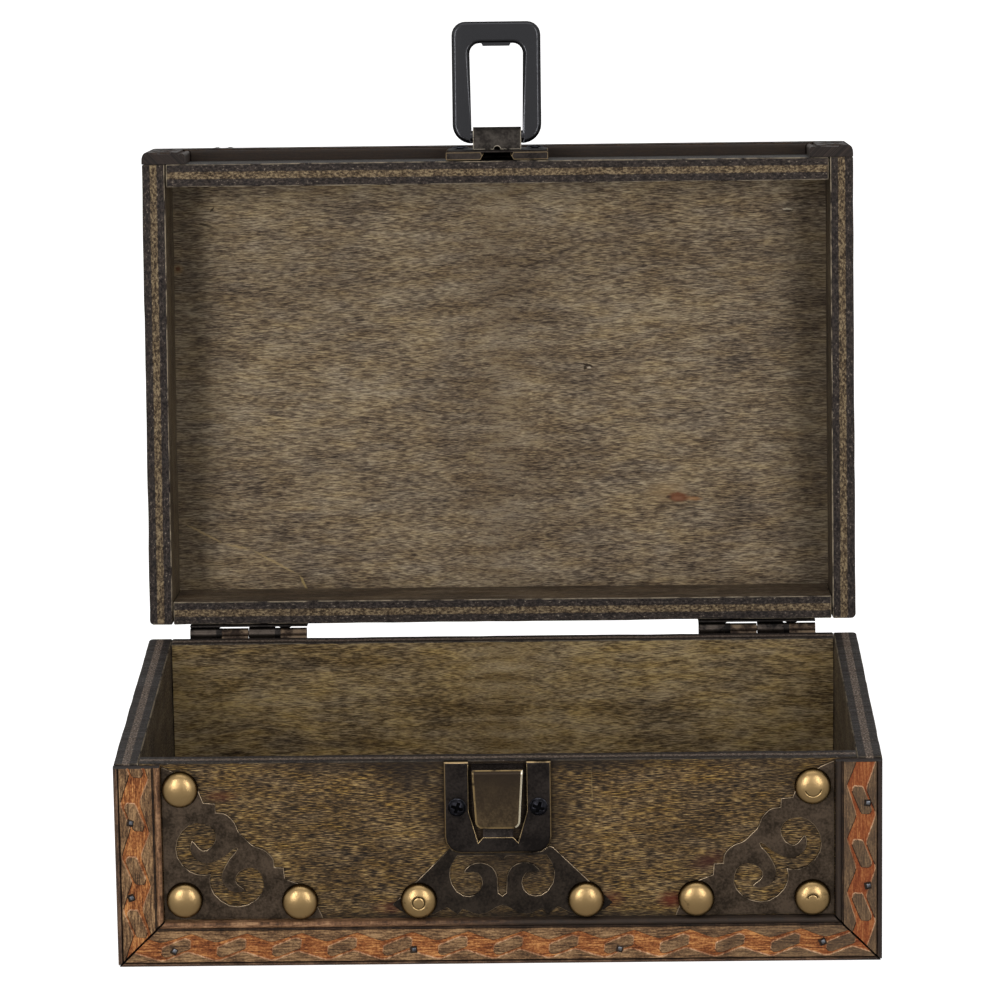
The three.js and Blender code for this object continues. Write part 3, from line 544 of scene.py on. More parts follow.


# %% [markdown]
# What happened only once to a board is listed one by one. The lid's panel has painted shadow along both
# ends, under its side walls, two knots, a chip, a few scars and a long crack. The front has stain that ran
# round the latch, under the rim and over the moulding, reddish drops beside the plates, and one pale scratch.

# %% Marks of the lid's panel and of the front, in millimetres on the shut chest
marks = {
    "lid_top_board": [
        # Painted shadow of the side walls along both ends of the panel
        ((-110, 0), (24, 120), 0, "#2c251d", 0.4, 0.5),
        ((110, 0), (26, 120), 0, "#2c251d", 0.4, 0.6),
        ((55.0, 36.5), (8.5, 5.0), 0, "#9c815a", 0.45, 0.8),
        ((63.2, 38.8), (3.6, 0.9), 3, "#996b40", 0.65, 0.6),
        ((58.2, 38.3), (4.0, 2.0), 4, "#6b3f28", 0.9, 0.45),
        ((58.0, 38.7), (2.4, 0.8), 4, "#8a6047", 0.7, 0.7),
        ((55.0, 38.3), (1.2, 0.7), 0, "#33261f", 0.85, 0.6),
        ((28.8, -5.9), (2.0, 0.45), 19, "#2b2118", 0.95, 0.3),
        ((27.9, -5.0), (0.75, 0.75), 0, "#2a1f14", 0.95, 0.3),
        ((29.3, -5.0), (0.6, 0.35), 0, "#b8ab98", 0.95, 0.4),
        ((95.2, -56.1), (2.4, 0.4), -2, "#29221b", 0.8, 0.4),
        ((95.0, -56.7), (2.1, 0.38), -2, "#b0a48f", 0.9, 0.4),
        ((-106.4, -39.1), (2.4, 2.2), 0, "#7d6544", 0.5, 0.5),
        ((-106.3, -39.1), (1.0, 1.0), 0, "#4a2c1a", 0.9, 0.5),
        ((-99.1, 48.9), (8.2, 0.45), 28, "#9a845c", 0.7, 0.4),
        ((-88.2, 53.3), (4.8, 0.45), 12, "#a08a61", 0.7, 0.4),
        ((-75.9, 58.6), (9.8, 0.5), 29, "#a08a61", 0.7, 0.4),
        ((-66.4, 65.5), (3.0, 0.5), 63, "#a8925f", 0.7, 0.4),
        ((-94.7, -58.5), (1.3, 0.4), -45, "#221b14", 0.85, 0.4),
        ((-97.0, -53.5), (2.9, 0.65), 15, "#28211a", 0.75, 0.5),
    ],
    "front_wall": [
        ((0, 62.6), (104, 4.6), 0, "#1d150e", 0.8, 0.7),
        ((0, 48), (27, 22), 0, "#1c130c", 0.85, 0.45),
        ((-27, 58), (13, 8), 0, "#1c150f", 0.7, 0.8),
        ((86, 58), (16, 7), 0, "#1c150f", 0.5, 0.8),
        ((-83, 52.5), (6.0, 2.2), 0, "#4d1f15", 0.55, 0.8),
        ((63, 31), (7.5, 3.6), 20, "#3b1a14", 0.75, 0.8),
        ((33.6, 19.5), (5.0, 3.4), 0, "#4d2016", 0.6, 0.8),
        ((52, 19.0), (5.5, 3.2), 0, "#5c2213", 0.75, 0.8),
        ((-33, 17.3), (6.0, 2.6), 0, "#4d2016", 0.55, 0.8),
        ((0, 14.6), (100, 1.7), 0, "#16100c", 0.7, 0.6),
        ((0, 25), (24, 13), 0, "#1c140d", 0.35, 0.5),
        ((28.2, 54.5), (0.2, 6.5), 0, "#8d7b52", 0.4, 0.5),
    ],
}

# %% [markdown]
# Each board then gets its grain, its veneer and how far its arrises are rubbed. The look is how dark,
# how cloudy and how open-pored its face is.

# %% The ten boards
rounded_back = {"left": ((-1, 1),), "right": ((1, 1),), "both": ((-1, 1), (1, 1)), "none": ()}
boards = {
    "floor_board": ("X", "Y", "Z", "both", olive_veneer, (0.0, 0.5, 0.5), body_plies, 0.0, 0.0),
    "left_wall": ("Y", "Z", "X", "left", dim_veneer, (-0.12, 0.5, 0.5), body_plies, 0.7, 0.2),
    "right_wall": ("Y", "Z", "X", "right", dim_veneer, (-0.2, 0.5, 0.5), body_plies, 0.5, 0.2),
    "front_wall": ("X", "Z", "Y", "none", gold_veneer, (0.0, 0.32, 0.8), body_plies, 0.35, 0.12),
    "back_wall": ("X", "Z", "Y", "none", olive_veneer, (-0.08, 0.45, 0.5), body_plies, 0.25, 0.2),
    "lid_top_board": ("X", "Y", "Z", "both", grey_veneer, (-0.03, 0.36, 0.35), lid_plies, 0.0, 0.1),
    "lid_left_wall": ("Y", "Z", "X", "left", dim_veneer, (-0.25, 0.5, 0.4), lid_plies, 1.0, 0.1),
    "lid_right_wall": ("Y", "Z", "X", "right", dim_veneer, (-0.1, 0.5, 0.4), lid_plies, 1.0, 0.1),
    "lid_front_wall": ("X", "Z", "Y", "none", dim_veneer, (0.3, 0.5, 0.4), lid_plies, 0.8, 0.8),
    "lid_back_wall": ("X", "Z", "Y", "none", grey_veneer, (0.2, 0.5, 0.4), lid_plies, 0.8, 0.5),
}
for node, (along, across, through, rounded, stops, look, plies, rub_inside, rub_outside) in boards.items():
    wood = stained_plywood(node, along, across, through, stops, look, plies, marks.get(node, []))
    block = eased_board(node, through, rounded_back[rounded], rub_inside, rub_outside)
    piece(node + "_plywood", block, body_of(node), [wood], [node])

# %% [markdown]
# ## Carved moulding
#
# The front is framed with a small moulding: a rounded strip outside, a flat with a carved ribbon, and a
# bead inside. The maker stained the wood brown, then cut a zigzag ribbon into it, which laid bare orange
# wood and left lozenges standing at the old surface. One cell of the pattern is drawn as flat faces and
# repeated, the ribbon's faces are sunk with an inset, and the long edges are extruded round the profile.

# %% Measures of the moulding, in millimetres
moulding_width = 14.0
moulding_thick = 3.8
strip_width = 1.4
strip_drop = 2.6
groove_width = 0.5
groove_depth = 0.7
bead_width = 1.9
bead_drop = 0.4
mitre_gap = 0.6
arc_steps = 6
carving_pitch = 16.65
carving_depth = 0.5
carving_slope = 0.26
flat_start = strip_width + groove_width
flat_end = moulding_width - bead_width - groove_width

# %% One cell of the carving, from the lozenge's blunt end and from the moulding's outer edge
cell_start = -0.4
cell_end = cell_start + carving_pitch
seam = 5.4
ribbon_upper = [(0.9, 8.35), (8.2, 10.6), (9.0, 10.8), (10.1, 10.45), (12.6, 9.4), (14.8, 8.55)]
ribbon_lower = [(0.9, 2.25), (7.0, 4.6), (7.9, 4.78), (9.0, 4.5), (12.0, 3.45), (14.6, 2.6)]
upper_seam, lower_seam = 8.15, 2.12
lozenge_over = [(0.0, 4.4), (0.15, 6.2), (0.7, 6.6), (6.3, 8.85), (7.1, 9.05), (8.2, 8.75), (8.6, 8.4)]
lozenge_under = [(8.4, 6.3), (8.0, 5.9), (1.7, 3.5), (0.9, 3.5), (0.3, 3.85)]


# %% Draw the carved flat
moulding_parts = ("ground", "ribbon", "wall", "end", "strip", "bead", "groove")
part_index = {name: index for index, name in enumerate(moulding_parts)}


def cell_outlines():
    """The faces of a cell: which part each is, and its corners as (along, across)."""
    ground_over = [(cell_start, flat_end), (cell_start, upper_seam), *ribbon_upper, (cell_end, upper_seam),
                   (cell_end, flat_end)]
    ground_under = [(cell_end, flat_start), (cell_end, lower_seam), *reversed(ribbon_lower),
                    (cell_start, lower_seam), (cell_start, flat_start)]
    ribbon_over = [(cell_start, seam), *lozenge_over, (cell_end, seam), (cell_end, upper_seam),
                   *reversed(ribbon_upper), (cell_start, upper_seam)]
    ribbon_under = [(cell_end, seam), lozenge_over[-1], *lozenge_under, lozenge_over[0],
                    (cell_start, seam), (cell_start, lower_seam), *ribbon_lower, (cell_end, lower_seam)]
    return {
        "ground_over": ground_over,
        "ground_under": ground_under,
        "ribbon_over": ribbon_over,
        "ribbon_under": ribbon_under,
        "lozenge": [*lozenge_over, *lozenge_under],
    }


def carved_flat(start, end, phase):
    """The flat with its carved ribbon, from start to end, at least, with a lozenge beginning at phase."""
    bm = bmesh.new()
    ribbon = []
    for name, outline in cell_outlines().items():
        face = bm.faces.new([bm.verts.new((along, 0, across)) for along, across in outline])
        if name.startswith("ribbon"):
            ribbon.append(face)
    for face in ribbon:
        face.material_index = part_index["ribbon"]
    first = math.floor((start - phase - cell_start) / carving_pitch)
    last = math.ceil((end - phase - cell_start) / carving_pitch)
    cell = list(bm.faces)
    bmesh.ops.translate(bm, vec=(phase + first * carving_pitch, 0, 0), verts=bm.verts)
    for k in range(1, last - first):
        copy = bmesh.ops.duplicate(bm, geom=cell)["geom"]
        copied = [item for item in copy if isinstance(item, bmesh.types.BMVert)]
        bmesh.ops.translate(bm, vec=(k * carving_pitch, 0, 0), verts=copied)
    bmesh.ops.remove_doubles(bm, verts=bm.verts, dist=0.01)
    for face in bm.faces:
        if face.normal.y > 0:
            face.normal_flip()
    bmesh.ops.translate(bm, vec=(0, -moulding_thick, 0), verts=bm.verts)
    ribbon = [face for face in bm.faces if face.material_index == part_index["ribbon"]]
    walls = bmesh.ops.inset_region(bm, faces=ribbon, thickness=carving_slope, depth=-carving_depth,
                                   use_boundary=True, use_even_offset=True)["faces"]
    for wall in walls:
        wall.material_index = part_index["wall"]
    return bm


# %% Draw the strip, the bead and the back
def arc(centre, radius, start, end, steps):
    """Points on an arc, its angles in degrees."""
    turns = [math.radians(start + (end - start) * i / steps) for i in range(steps + 1)]
    return [(centre[0] + radius * math.cos(t), centre[1] + radius * math.sin(t)) for t in turns]


def side_profiles():
    """From the flat outwards: points (across, out) over the strip, and over the bead."""
    foot = moulding_thick - groove_depth
    strip = [(strip_width + groove_width / 2, foot), (strip_width, moulding_thick)]
    for share_across, share_out in arc((1, 0), 1, 90, 180, arc_steps)[1:]:
        strip.append((strip_width * share_across, moulding_thick - strip_drop * (1 - share_out)))
    strip.append((0.0, 0.0))
    bead_radius = bead_width / 2
    bead_centre = (moulding_width - bead_radius, moulding_thick - bead_drop - bead_radius)
    bead = [(flat_end + 0.05, foot), (flat_end + groove_width, foot)]
    bead += arc(bead_centre, bead_radius, 170, 0, 2 * arc_steps)
    bead += [(moulding_width, 0.0)]
    return strip, bead


def extrude_profile(bm, edges, points):
    """Pulls a long edge through the points of a profile, and returns the edge it ends on."""
    for across, out in points:
        pulled = bmesh.ops.extrude_edge_only(bm, edges=edges)["geom"]
        edges = [item for item in pulled if isinstance(item, bmesh.types.BMEdge)]
        for vertex in {vertex for edge in edges for vertex in edge.verts}:
            vertex.co.y, vertex.co.z = -out, across
        edges = [edge for edge in edges if abs(edge.verts[0].co.x - edge.verts[1].co.x) > 1]
    return edges


# %% Cut the ends, and build a whole run
def cut_end(bm, place, side, mitred):
    """Cuts an end of a run and closes it; each side of a mitre is set back by half the gap between them."""
    square = Vector((side, 0, 1 if mitred else 0)).normalized()
    spot = Vector((place - side * (mitre_gap * 0.7 if mitred else 0), 0, 0))
    bmesh.ops.bisect_plane(bm, geom=[*bm.verts, *bm.edges, *bm.faces], plane_co=spot, plane_no=square,
                           clear_outer=True)
    rim = [edge for edge in bm.edges if edge.is_boundary and all(
        abs((vertex.co - spot).dot(square)) < 0.01 for vertex in edge.verts)]
    for face in bmesh.ops.triangle_fill(bm, edges=rim, use_beauty=True)["geom"]:
        if isinstance(face, bmesh.types.BMFace):
            face.material_index = part_index["end"]


def moulding_run(start, end, phase, mitre_start, mitre_end, offset):
    """A run along +X that faces -Y, in mm: mitred or square at either end, its bead at the top."""
    bm = carved_flat(start, end, phase)
    bm.edges.ensure_lookup_table()
    long_edges = [edge for edge in bm.edges if abs(edge.verts[0].co.x - edge.verts[1].co.x) > 1]
    at_strip = [e for e in long_edges if all(abs(v.co.z - flat_start) < 0.01 for v in e.verts)]
    at_bead = [e for e in long_edges if all(abs(v.co.z - flat_end) < 0.01 for v in e.verts)]
    strip, bead = side_profiles()
    flat_faces = set(bm.faces)
    last_strip = extrude_profile(bm, at_strip, strip)
    strip_faces = set(bm.faces) - flat_faces
    last_bead = extrude_profile(bm, at_bead, bead)
    for face in set(bm.faces) - flat_faces:
        face.material_index = part_index["strip" if face in strip_faces else "bead"]
        across = face.calc_center_median().z
        if strip_width < across < flat_start or flat_end < across < flat_end + groove_width + 0.02:
            face.material_index = part_index["groove"]
    bmesh.ops.bridge_loops(bm, edges=last_strip + last_bead)
    bmesh.ops.triangulate(bm, faces=bm.faces)
    cut_end(bm, start, -1, mitre_start)
    cut_end(bm, end, 1, mitre_end)
    bmesh.ops.recalc_face_normals(bm, faces=bm.faces)
    along = bm.loops.layers.uv.new("along_run")
    for face in bm.faces:
        for loop in face.loops:
            spot = loop.vert.co
            loop[along].uv = (spot.x + offset, spot.z - spot.y)
    bmesh.ops.scale(bm, vec=(MM, MM, MM), verts=bm.verts)
    return bm


# %% [markdown]
# The moulding is pine or something like it. The stained ground is a dusty brown, the carved ribbon is
# bare orange wood with dark fibres along the run, and the cut walls are raw wood painted paler still, a
# painted highlight in thin pale lines.
# The box's dark stain was brushed over the bead, the right edge and the whole lid moulding. All of this
# follows the run, so it reads the UV map that holds the place along and across it in millimetres.


# %% Wood of the moulding
def moulding_wood(name, stops, washes):
    """Moulding wood; each wash is a stain: where along the run it starts, is full, its strength and tint."""
    material, tree, shader = new_material(name)
    run = add(tree, "UVMap", uv_map="along_run").outputs[0]
    along = add(tree, "SeparateXYZ", {0: run}).outputs[0]
    fibre = stretched_noise(tree, run, (5, 0.5, 1), 3.0, 0.36, 0.64)
    blotch = stretched_noise(tree, run, (9, 4, 1), 5.0, 0.36, 0.64)
    speck = stretched_noise(tree, run, (0.8, 0.5, 1), 3.0, 0.36, 0.64)
    tone = 0.0
    for pattern, weight in ((fibre, 0.42), (blotch, 0.3), (speck, 0.28)):
        tone = add(tree, "Math", {0: pattern, 1: weight, 2: tone}, operation="MULTIPLY_ADD").outputs[0]
    stained = zip((0.2, 0.5, 0.8), stops)
    colour = add(tree, "ValToRGB", {"Fac": tone}, stops=stained).outputs["Color"]
    for begins, full, strength, tint in washes:
        wavy = add(tree, "Math", {0: blotch, 1: 0.3 * (full - begins), 2: along}, operation="MULTIPLY_ADD")
        cover = add(tree, "MapRange", {0: wavy.outputs[0], 1: begins, 2: full, 4: strength}).outputs[0]
        colour = add(tree, "Mix", {0: cover, 6: colour, 7: linear(tint)}, data_type="RGBA").outputs[2]
    gloss = add(tree, "MapRange", {0: tone, 3: 0.5, 4: 0.72}).outputs[0]
    finish_surface(tree, shader, colour, tone, wood_relief, gloss)
    shader.inputs["Specular IOR Level"].default_value = wood_shine
    return material


# %% Woods of the moulding, in the order of its parts
# Along the runs the body's places end below 180 and the lid's begin above 850, so this covers the lid alone
whole_lid = (300, 500)
moulding_woods = [
    # Planed and stained: a dusty brown in which the fibres just show
    moulding_wood("stained_pine_ground", ("#3a281a", "#70543a", "#a5835d"), [
        (50, 118, 0.6, "#4a3d31"), (*whole_lid, 0.93, "#282423")]),
    # Laid bare by the chisel: warm orange with dark fibres
    moulding_wood("bare_pine_ribbon", ("#4a2310", "#8c522b", "#c88d54"), [
        (95, 118, 0.55, "#7f3b20"), (*whole_lid, 0.95, "#2b2625")]),
    # The raw wall of the cut, painted paler as a highlight: a thin pale line
    moulding_wood("cut_pine_wall", ("#7a5037", "#b98a66", "#e0bd98"), [(*whole_lid, 0.9, "#2f2826")]),
    # End grain that drank the stain: almost black
    moulding_wood("sawn_pine_end", ("#120e0c", "#251e1b", "#3b312c"), []),
    # The rounded outer strip, handled and darker than the ground
    moulding_wood("stained_pine_strip", ("#2f241d", "#574234", "#84674f"), [
        (100, 116, 0.85, "#2b2523"), (*whole_lid, 0.6, "#262221")]),
    # The bead: reddish brown where the box's dark stain did not reach it
    moulding_wood("stained_pine_bead", ("#422d1f", "#7a5940", "#a5805f"), [(-38, 14, 0.95, "#29231f")]),
    # Dark in the groove, and painted shade on cut walls that look down: a dark line along the run
    moulding_wood("dark_groove_and_painted_shade", ("#15100c", "#2d2119", "#4f3c2d"), []),
]

# %% [markdown]
# Three runs frame the body's front and three the lid's. Each is built along +X and then turned into its
# place. Cut walls that look down get the groove's dark material, as painted shade.

# %% Six runs of moulding
side_run = half_width / MM
top_mm = lid_top / MM
rim_mm = shut_box("lid_trim_left")[0].z / MM
trim_mm = shut_box("body_trim_left")[1].z / MM
down_left = Matrix.Translation((-half_width, front_y, 0)) @ Matrix.Rotation(math.radians(90), 4, "Y")
up_right = Matrix.Translation((half_width, front_y, 0)) @ Matrix.Rotation(math.radians(-90), 4, "Y")
across_body = Matrix.Translation((0, front_y, 0))
across_lid = Matrix.Translation((0, front_y, lid_top)) @ Matrix.Rotation(math.radians(180), 4, "Y")
runs = {
    "body_trim_bottom": (across_body, -side_run, side_run, -101.6, True, True, 0),
    "body_trim_left": (down_left, -trim_mm, 0, -51.6, False, True, -side_run),
    "body_trim_right": (up_right, 0, trim_mm, 46.2, True, False, side_run),
    "lid_trim_top": (across_lid, -side_run, side_run, -99.0, True, True, 1000),
    "lid_trim_left": (down_left, -top_mm, -rim_mm, -92.0, True, False, 1050),
    "lid_trim_right": (up_right, rim_mm, top_mm, 71.0, False, True, 1150),
}
for node, (placing, *measures) in runs.items():
    bm = moulding_run(*measures)
    bmesh.ops.transform(bm, matrix=placing, verts=bm.verts)
    # Cut walls that look down get the dark groove material: painted shade
    for face in bm.faces:
        if face.material_index == part_index["wall"] and face.normal.z < -0.2:
            face.material_index = part_index["groove"]
    piece(node + "_moulding", bm, body_of(node), moulding_woods, [node])

# %% [markdown]
# ## Old metal
#
# Every metal part has been darkened on purpose: the sheet is dipped in a blackening bath and rubbed with
# a cloth, so the flats stay dark and speckled and the edges show bright metal. A number on each face,
# called worn, is 1 where a cloth would rub; on the tacks, the screws and the ring it also paints highlight
# and shade by the way a face looks. The material spreads it with noise so that no edge is evenly bright.


# %% Blackened and rubbed metal
def aged_metal(name, deep, plain, rubbed, mottle_mm, rub_from, roughness=(0.55, 0.4), polish=0.32,
               fade=None, metallic=0.9):
    """Metal from deep to plain in mottles, rubbed on worn faces; fade is a tint between two heights."""
    material, tree, shader = new_material(name)
    spot = add(tree, "TexCoord").outputs["Object"]
    spot_mm = add(tree, "VectorMath", {0: spot, "Scale": 1000.0}, operation="SCALE").outputs[0]
    mottle = stretched_noise(tree, spot_mm, (mottle_mm, mottle_mm, mottle_mm), 5.0)
    fleck = stretched_noise(tree, spot_mm, (0.8, 0.8, 0.8), 3.0)
    tone = add(tree, "Math", {0: fleck, 1: 0.4, 2: 0.0}, operation="MULTIPLY_ADD").outputs[0]
    tone = add(tree, "Math", {0: mottle, 1: 0.6, 2: tone}, operation="MULTIPLY_ADD").outputs[0]
    colour = add(tree, "ValToRGB", {"Fac": tone}, stops=[(0.25, deep), (0.75, plain)]).outputs["Color"]
    if fade:
        begins, full, tint = fade
        height = add(tree, "SeparateXYZ", {0: spot_mm}).outputs["Z"]
        cover = add(tree, "MapRange", {0: height, 1: begins, 2: full}).outputs[0]
        colour = add(tree, "Mix", {0: cover, 6: colour, 7: linear(tint)}, data_type="RGBA").outputs[2]
    worn = add(tree, "Attribute", attribute_name="worn").outputs["Fac"]
    rub = add(tree, "MapRange", {0: mottle, 1: rub_from, 2: rub_from + 0.4}).outputs[0]
    rub = add(tree, "Math", {0: rub, 1: worn}, operation="MULTIPLY").outputs[0]
    colour = add(tree, "Mix", {0: rub, 6: colour, 7: linear(rubbed)}, data_type="RGBA").outputs[2]
    shader.inputs["Metallic"].default_value = metallic
    shader.inputs["Specular Tint"].default_value = linear("#808080")
    gloss = add(tree, "MapRange", {0: tone, 3: roughness[0], 4: roughness[1]}).outputs[0]
    gloss = add(tree, "Mix", {0: rub, 2: gloss, 3: polish}, data_type="FLOAT").outputs[0]
    finish_surface(tree, shader, colour, fleck, (0.3, 0.05), gloss)
    return material


# %% [markdown]
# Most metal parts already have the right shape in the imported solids. Such a part is copied, its loose
# triangles are merged back into whole faces, and its edges are marked as rubbed. Where an edge was broken
# with a file, an inset of the whole face, its outline pushed back by a fraction of a millimetre, makes a
# thin bright line without rounding off small points.


# %% Copy a solid, mark its rubbed faces and break its edges
def merged_copy(node):
    """A bmesh of a solid with the lid shut, its triangles merged into flat faces."""
    bm = bmesh.new()
    bm.from_mesh(frame["nodes"][node].data)
    bm.faces.layers.float.new("worn")
    if body_of(node) == "lid":
        bmesh.ops.transform(bm, matrix=shut_lid, verts=bm.verts)
    bmesh.ops.remove_doubles(bm, verts=bm.verts, dist=0.002 * MM)
    bmesh.ops.dissolve_limit(bm, angle_limit=math.radians(0.5), verts=bm.verts, edges=bm.edges)
    bm.normal_update()
    return bm


def mark_worn(bm, faces, share=1.0):
    worn = bm.faces.layers.float["worn"]
    for face in faces:
        face[worn] = share


def facing(bm, direction, low=-1e9, high=1e9, least=0.99):
    """Faces that look along a direction, with their centres between two distances along it in mm."""
    return [
        face for face in bm.faces
        if face.normal.dot(direction) > least
        and low * MM < face.calc_center_median().dot(direction) < high * MM
    ]


def break_edges(bm, faces, width, push, within=1e9):
    """Insets a group of faces and moves their old outline, as far from x = 0 as within, by push."""
    rim = bmesh.ops.inset_region(bm, faces=faces, thickness=width * MM, depth=0, use_boundary=True,
                                 use_even_offset=True)["faces"]
    inside = {vertex for face in faces for vertex in face.verts}
    outline = {vertex for face in rim for vertex in face.verts} - inside
    moved = [vertex for vertex in outline if abs(vertex.co.x) < within * MM]
    bmesh.ops.translate(bm, vec=Vector(push) * MM, verts=moved)
    mark_worn(bm, [face for face in rim if all(vertex in moved or vertex in inside for vertex in face.verts)])
    return rim


# %% [markdown]
# ## Scroll plates
#
# Three thin plates are sawn from blackened brass. Their edges are broken with a file, which leaves a thin
# line all round, also inside the scrolls.

# %% Plates with filed edges
# Sheet brass from a blackening bath: nearly black, with a thin line of bare metal round its edges
blackened_sheet = aged_metal("blackened_brass_sheet", "#1e1a17", "#342d27", "#84735d", 7, 0.2)
# The same, as the corner plates came out of it: browner
browned_sheet = aged_metal("browned_brass_sheet", "#2b241d", "#4e4237", "#84735d", 7, 0.2)

plate_thick = 0.8
forward = Vector((0, -1, 0))
front_mm = -front_y / MM
for node in ("corner_plate_left", "corner_plate_right", "centre_plate"):
    bm = merged_copy(node)
    plate_front = facing(bm, forward, low=front_mm + plate_thick - 0.1)
    break_edges(bm, plate_front, 0.17, (0, 0.12, 0))
    sheet = blackened_sheet if node == "centre_plate" else browned_sheet
    piece(node + "_sheet", bm, "body", [sheet], [node])

# %% [markdown]
# ## Upholstery tacks
#
# A dome-headed tack is stamped from sheet brass, so its profile is spun round its axis: a low skirt that
# touches the plate and a round crown above it. A nail punch has left a ring, or part of one, on three of
# them. Rings of points sit on both sides of such a dent, and the ring between them is pushed in and painted
# dark as shade. Faces that look to the front get the rubbed colour: the crown is rubbed bright, and the
# skirt is darker, partly its brown skin and partly painted shade.


# %% Profile of a dome
dome_steps = 14
crown_power = 0.6
skirt_in, skirt_back = 0.5, 0.1
punch_half, punch_depth = 0.24, 0.22


def dome_profile(radius, height, dent):
    """Points (across, out) from under the skirt to the crown, with three rings of points at a dent."""
    turns = [90 * i / dome_steps for i in range(dome_steps + 1)]
    if dent:
        shifts = (punch_half, 0, -punch_half)
        at = [math.degrees(math.acos((dent[0] + shift) * MM / radius)) for shift in shifts]
        turns = sorted([turn for turn in turns if turn < at[0] - 2 or turn > at[2] + 2] + at)
    points = [(radius - skirt_in * MM, skirt_back * MM)]
    for turn in map(math.radians, turns[:-1]):
        points.append((radius * math.cos(turn), -height * math.sin(turn) ** crown_power))
    return points + [(0, -height)]


# %% One spun dome with a dent
def spun_dome(radius, height, dent):
    """A dome over the origin towards -Y; a dent is (radius in mm, first and last angle in degrees)."""
    bm = bmesh.new()
    worn = bm.faces.layers.float.new("worn")
    profile = dome_profile(radius, height, dent)
    chain = [bm.verts.new((across, out, 0)) for across, out in profile]
    edges = [bm.edges.new(pair) for pair in zip(chain, chain[1:])]
    bmesh.ops.spin(bm, geom=chain + edges, cent=(0, 0, 0), axis=(0, 1, 0), angle=math.radians(360),
                   steps=48, use_merge=True)
    bmesh.ops.remove_doubles(bm, verts=bm.verts, dist=0.001 * MM)
    bmesh.ops.holes_fill(bm, edges=[edge for edge in bm.edges if edge.is_boundary], sides=0)
    bmesh.ops.recalc_face_normals(bm, faces=bm.faces)
    # Faces that look to the front get the rubbed colour, so the skirt stays darker: partly wear, partly
    # painted shade
    for face in bm.faces:
        face[worn] = min(1.0, max(0.0, -face.normal.y * 1.6 - 0.5))
    if dent:
        ring = [
            vertex for vertex in bm.verts
            if abs(math.hypot(vertex.co.x, vertex.co.z) - dent[0] * MM) < 0.01 * MM
            and dent[1] <= math.degrees(math.atan2(vertex.co.z, vertex.co.x)) % 360 <= dent[2]
        ]
        bmesh.ops.translate(bm, vec=(0, punch_depth * MM, 0), verts=ring)
        # The inner ring of the dent gets the dark material: painted shade
        for face in {face for vertex in ring for face in vertex.link_faces}:
            face.material_index = 1 if all(
                math.hypot(v.co.x, v.co.z) < (dent[0] + 0.01) * MM for v in face.verts) else 0
    return bm


# %% Eight tacks
# Aged brass: a warm blurred highlight on the crown, and brown towards the skirt, partly painted shade
tack_brass = aged_metal("aged_brass_tack", "#33260f", "#5c4829", "#9a8058", 3, -0.25, (0.3, 0.22), 0.3)
# Painted shade in the punched ring: a thin dark arc
dent_shadow = aged_metal("dent_in_brass_tack", "#1d160b", "#33280f", "#33280f", 4, 0.6, (0.6, 0.5))

spots = ("upper", "corner", "side", "centre")
tack_names = [f"tack_{spot}_{side}" for spot in spots for side in ("left", "right")]
dents = {
    "tack_centre_left": (1.9, 0, 360),
    "tack_corner_right": (1.7, 15, 170),
    "tack_upper_right": (2.5, 200, 345),
}
plate_face = front_y - plate_thick * MM
for node in tack_names:
    low, high = shut_box(node)
    bm = spun_dome((high.x - low.x) / 2, plate_face - low.y, dents.get(node))
    middle = ((high.x + low.x) / 2, plate_face, (high.z + low.z) / 2)
    bmesh.ops.translate(bm, vec=middle, verts=bm.verts)
    piece(node + "_dome", bm, "body", [tack_brass, dent_shadow], [node], smooth=50)

# %% [markdown]
# ## Latch
#
# The catch is one stamping: a tray with a rounded rim, and a strap bent out of it over a window to make
# the tongue. Cloth has rubbed the tray's rim, the window's edges and the outline of the tongue. On the
# tongue's right side its broken edges get a painted highlight, a thin white line like that of the softbox
# on the right.

# %% Metals of the catch
# Bronzed steel, drawn into a tray: nearly black, with a tan line where its rim is rubbed
bronzed_tray = aged_metal("bronzed_steel_tray", "#181514", "#2d2825", "#998360", 9, 0.0, (0.5, 0.38))
# The tongue is touched most: a browner, smoother bronze that darkens towards its top
rubbed_bronze = aged_metal("rubbed_bronze_tongue", "#3b3125", "#564835", "#a38a60", 4, 0.05,
                           (0.42, 0.34), 0.2, fade=(45, 61, "#2f2720"))
# Painted highlight on its right edge: a thin white line
painted_highlight_bronze = aged_metal("painted_highlight_bronze_edge", "#7d6a4c", "#b3a17e", "#e6dcc4", 4, -0.3, (0.3, 0.25), 0.2)

# %% Catch, its tray and tongue found by how far they stand out from the front
tray_least, tray_most = 2.2, 3.0
tongue_least = 5.0
bm = merged_copy("catch_plate")
mark_worn(bm, [face for face in bm.faces if 0.15 < abs(face.normal.y) < 0.9
               and front_mm < -face.calc_center_median().y / MM < front_mm + 2.5])
tray_front = facing(bm, forward, low=front_mm + tray_least, high=front_mm + tray_most)
break_edges(bm, tray_front, 0.16, (0, 0.12, 0), within=9.2)
tongue = facing(bm, forward, low=front_mm + tongue_least, least=0.5)
rim = break_edges(bm, tongue, 0.2, (0, 0.16, 0))
soft_rim = break_edges(bm, tongue, 0.35, (0, 0.07, 0))
mark_worn(bm, soft_rim, 0.5)
bm.normal_update()
# Faces of the tongue that look right get the painted highlight
for face in tongue + rim + soft_rim:
    face.material_index = 2 if face.normal.x > 0.1 else 1
catch_metals = [bronzed_tray, rubbed_bronze, painted_highlight_bronze]
piece("catch_plate_stamping", bm, "body", catch_metals, ["catch_plate"], smooth=35)

# %% [markdown]
# The plate on the lid is its plainer partner, with a rolled clip for the ring's bar. In the photograph it
# is seen from its lower edge, where the tab that became the clip has left a notch in the rim.

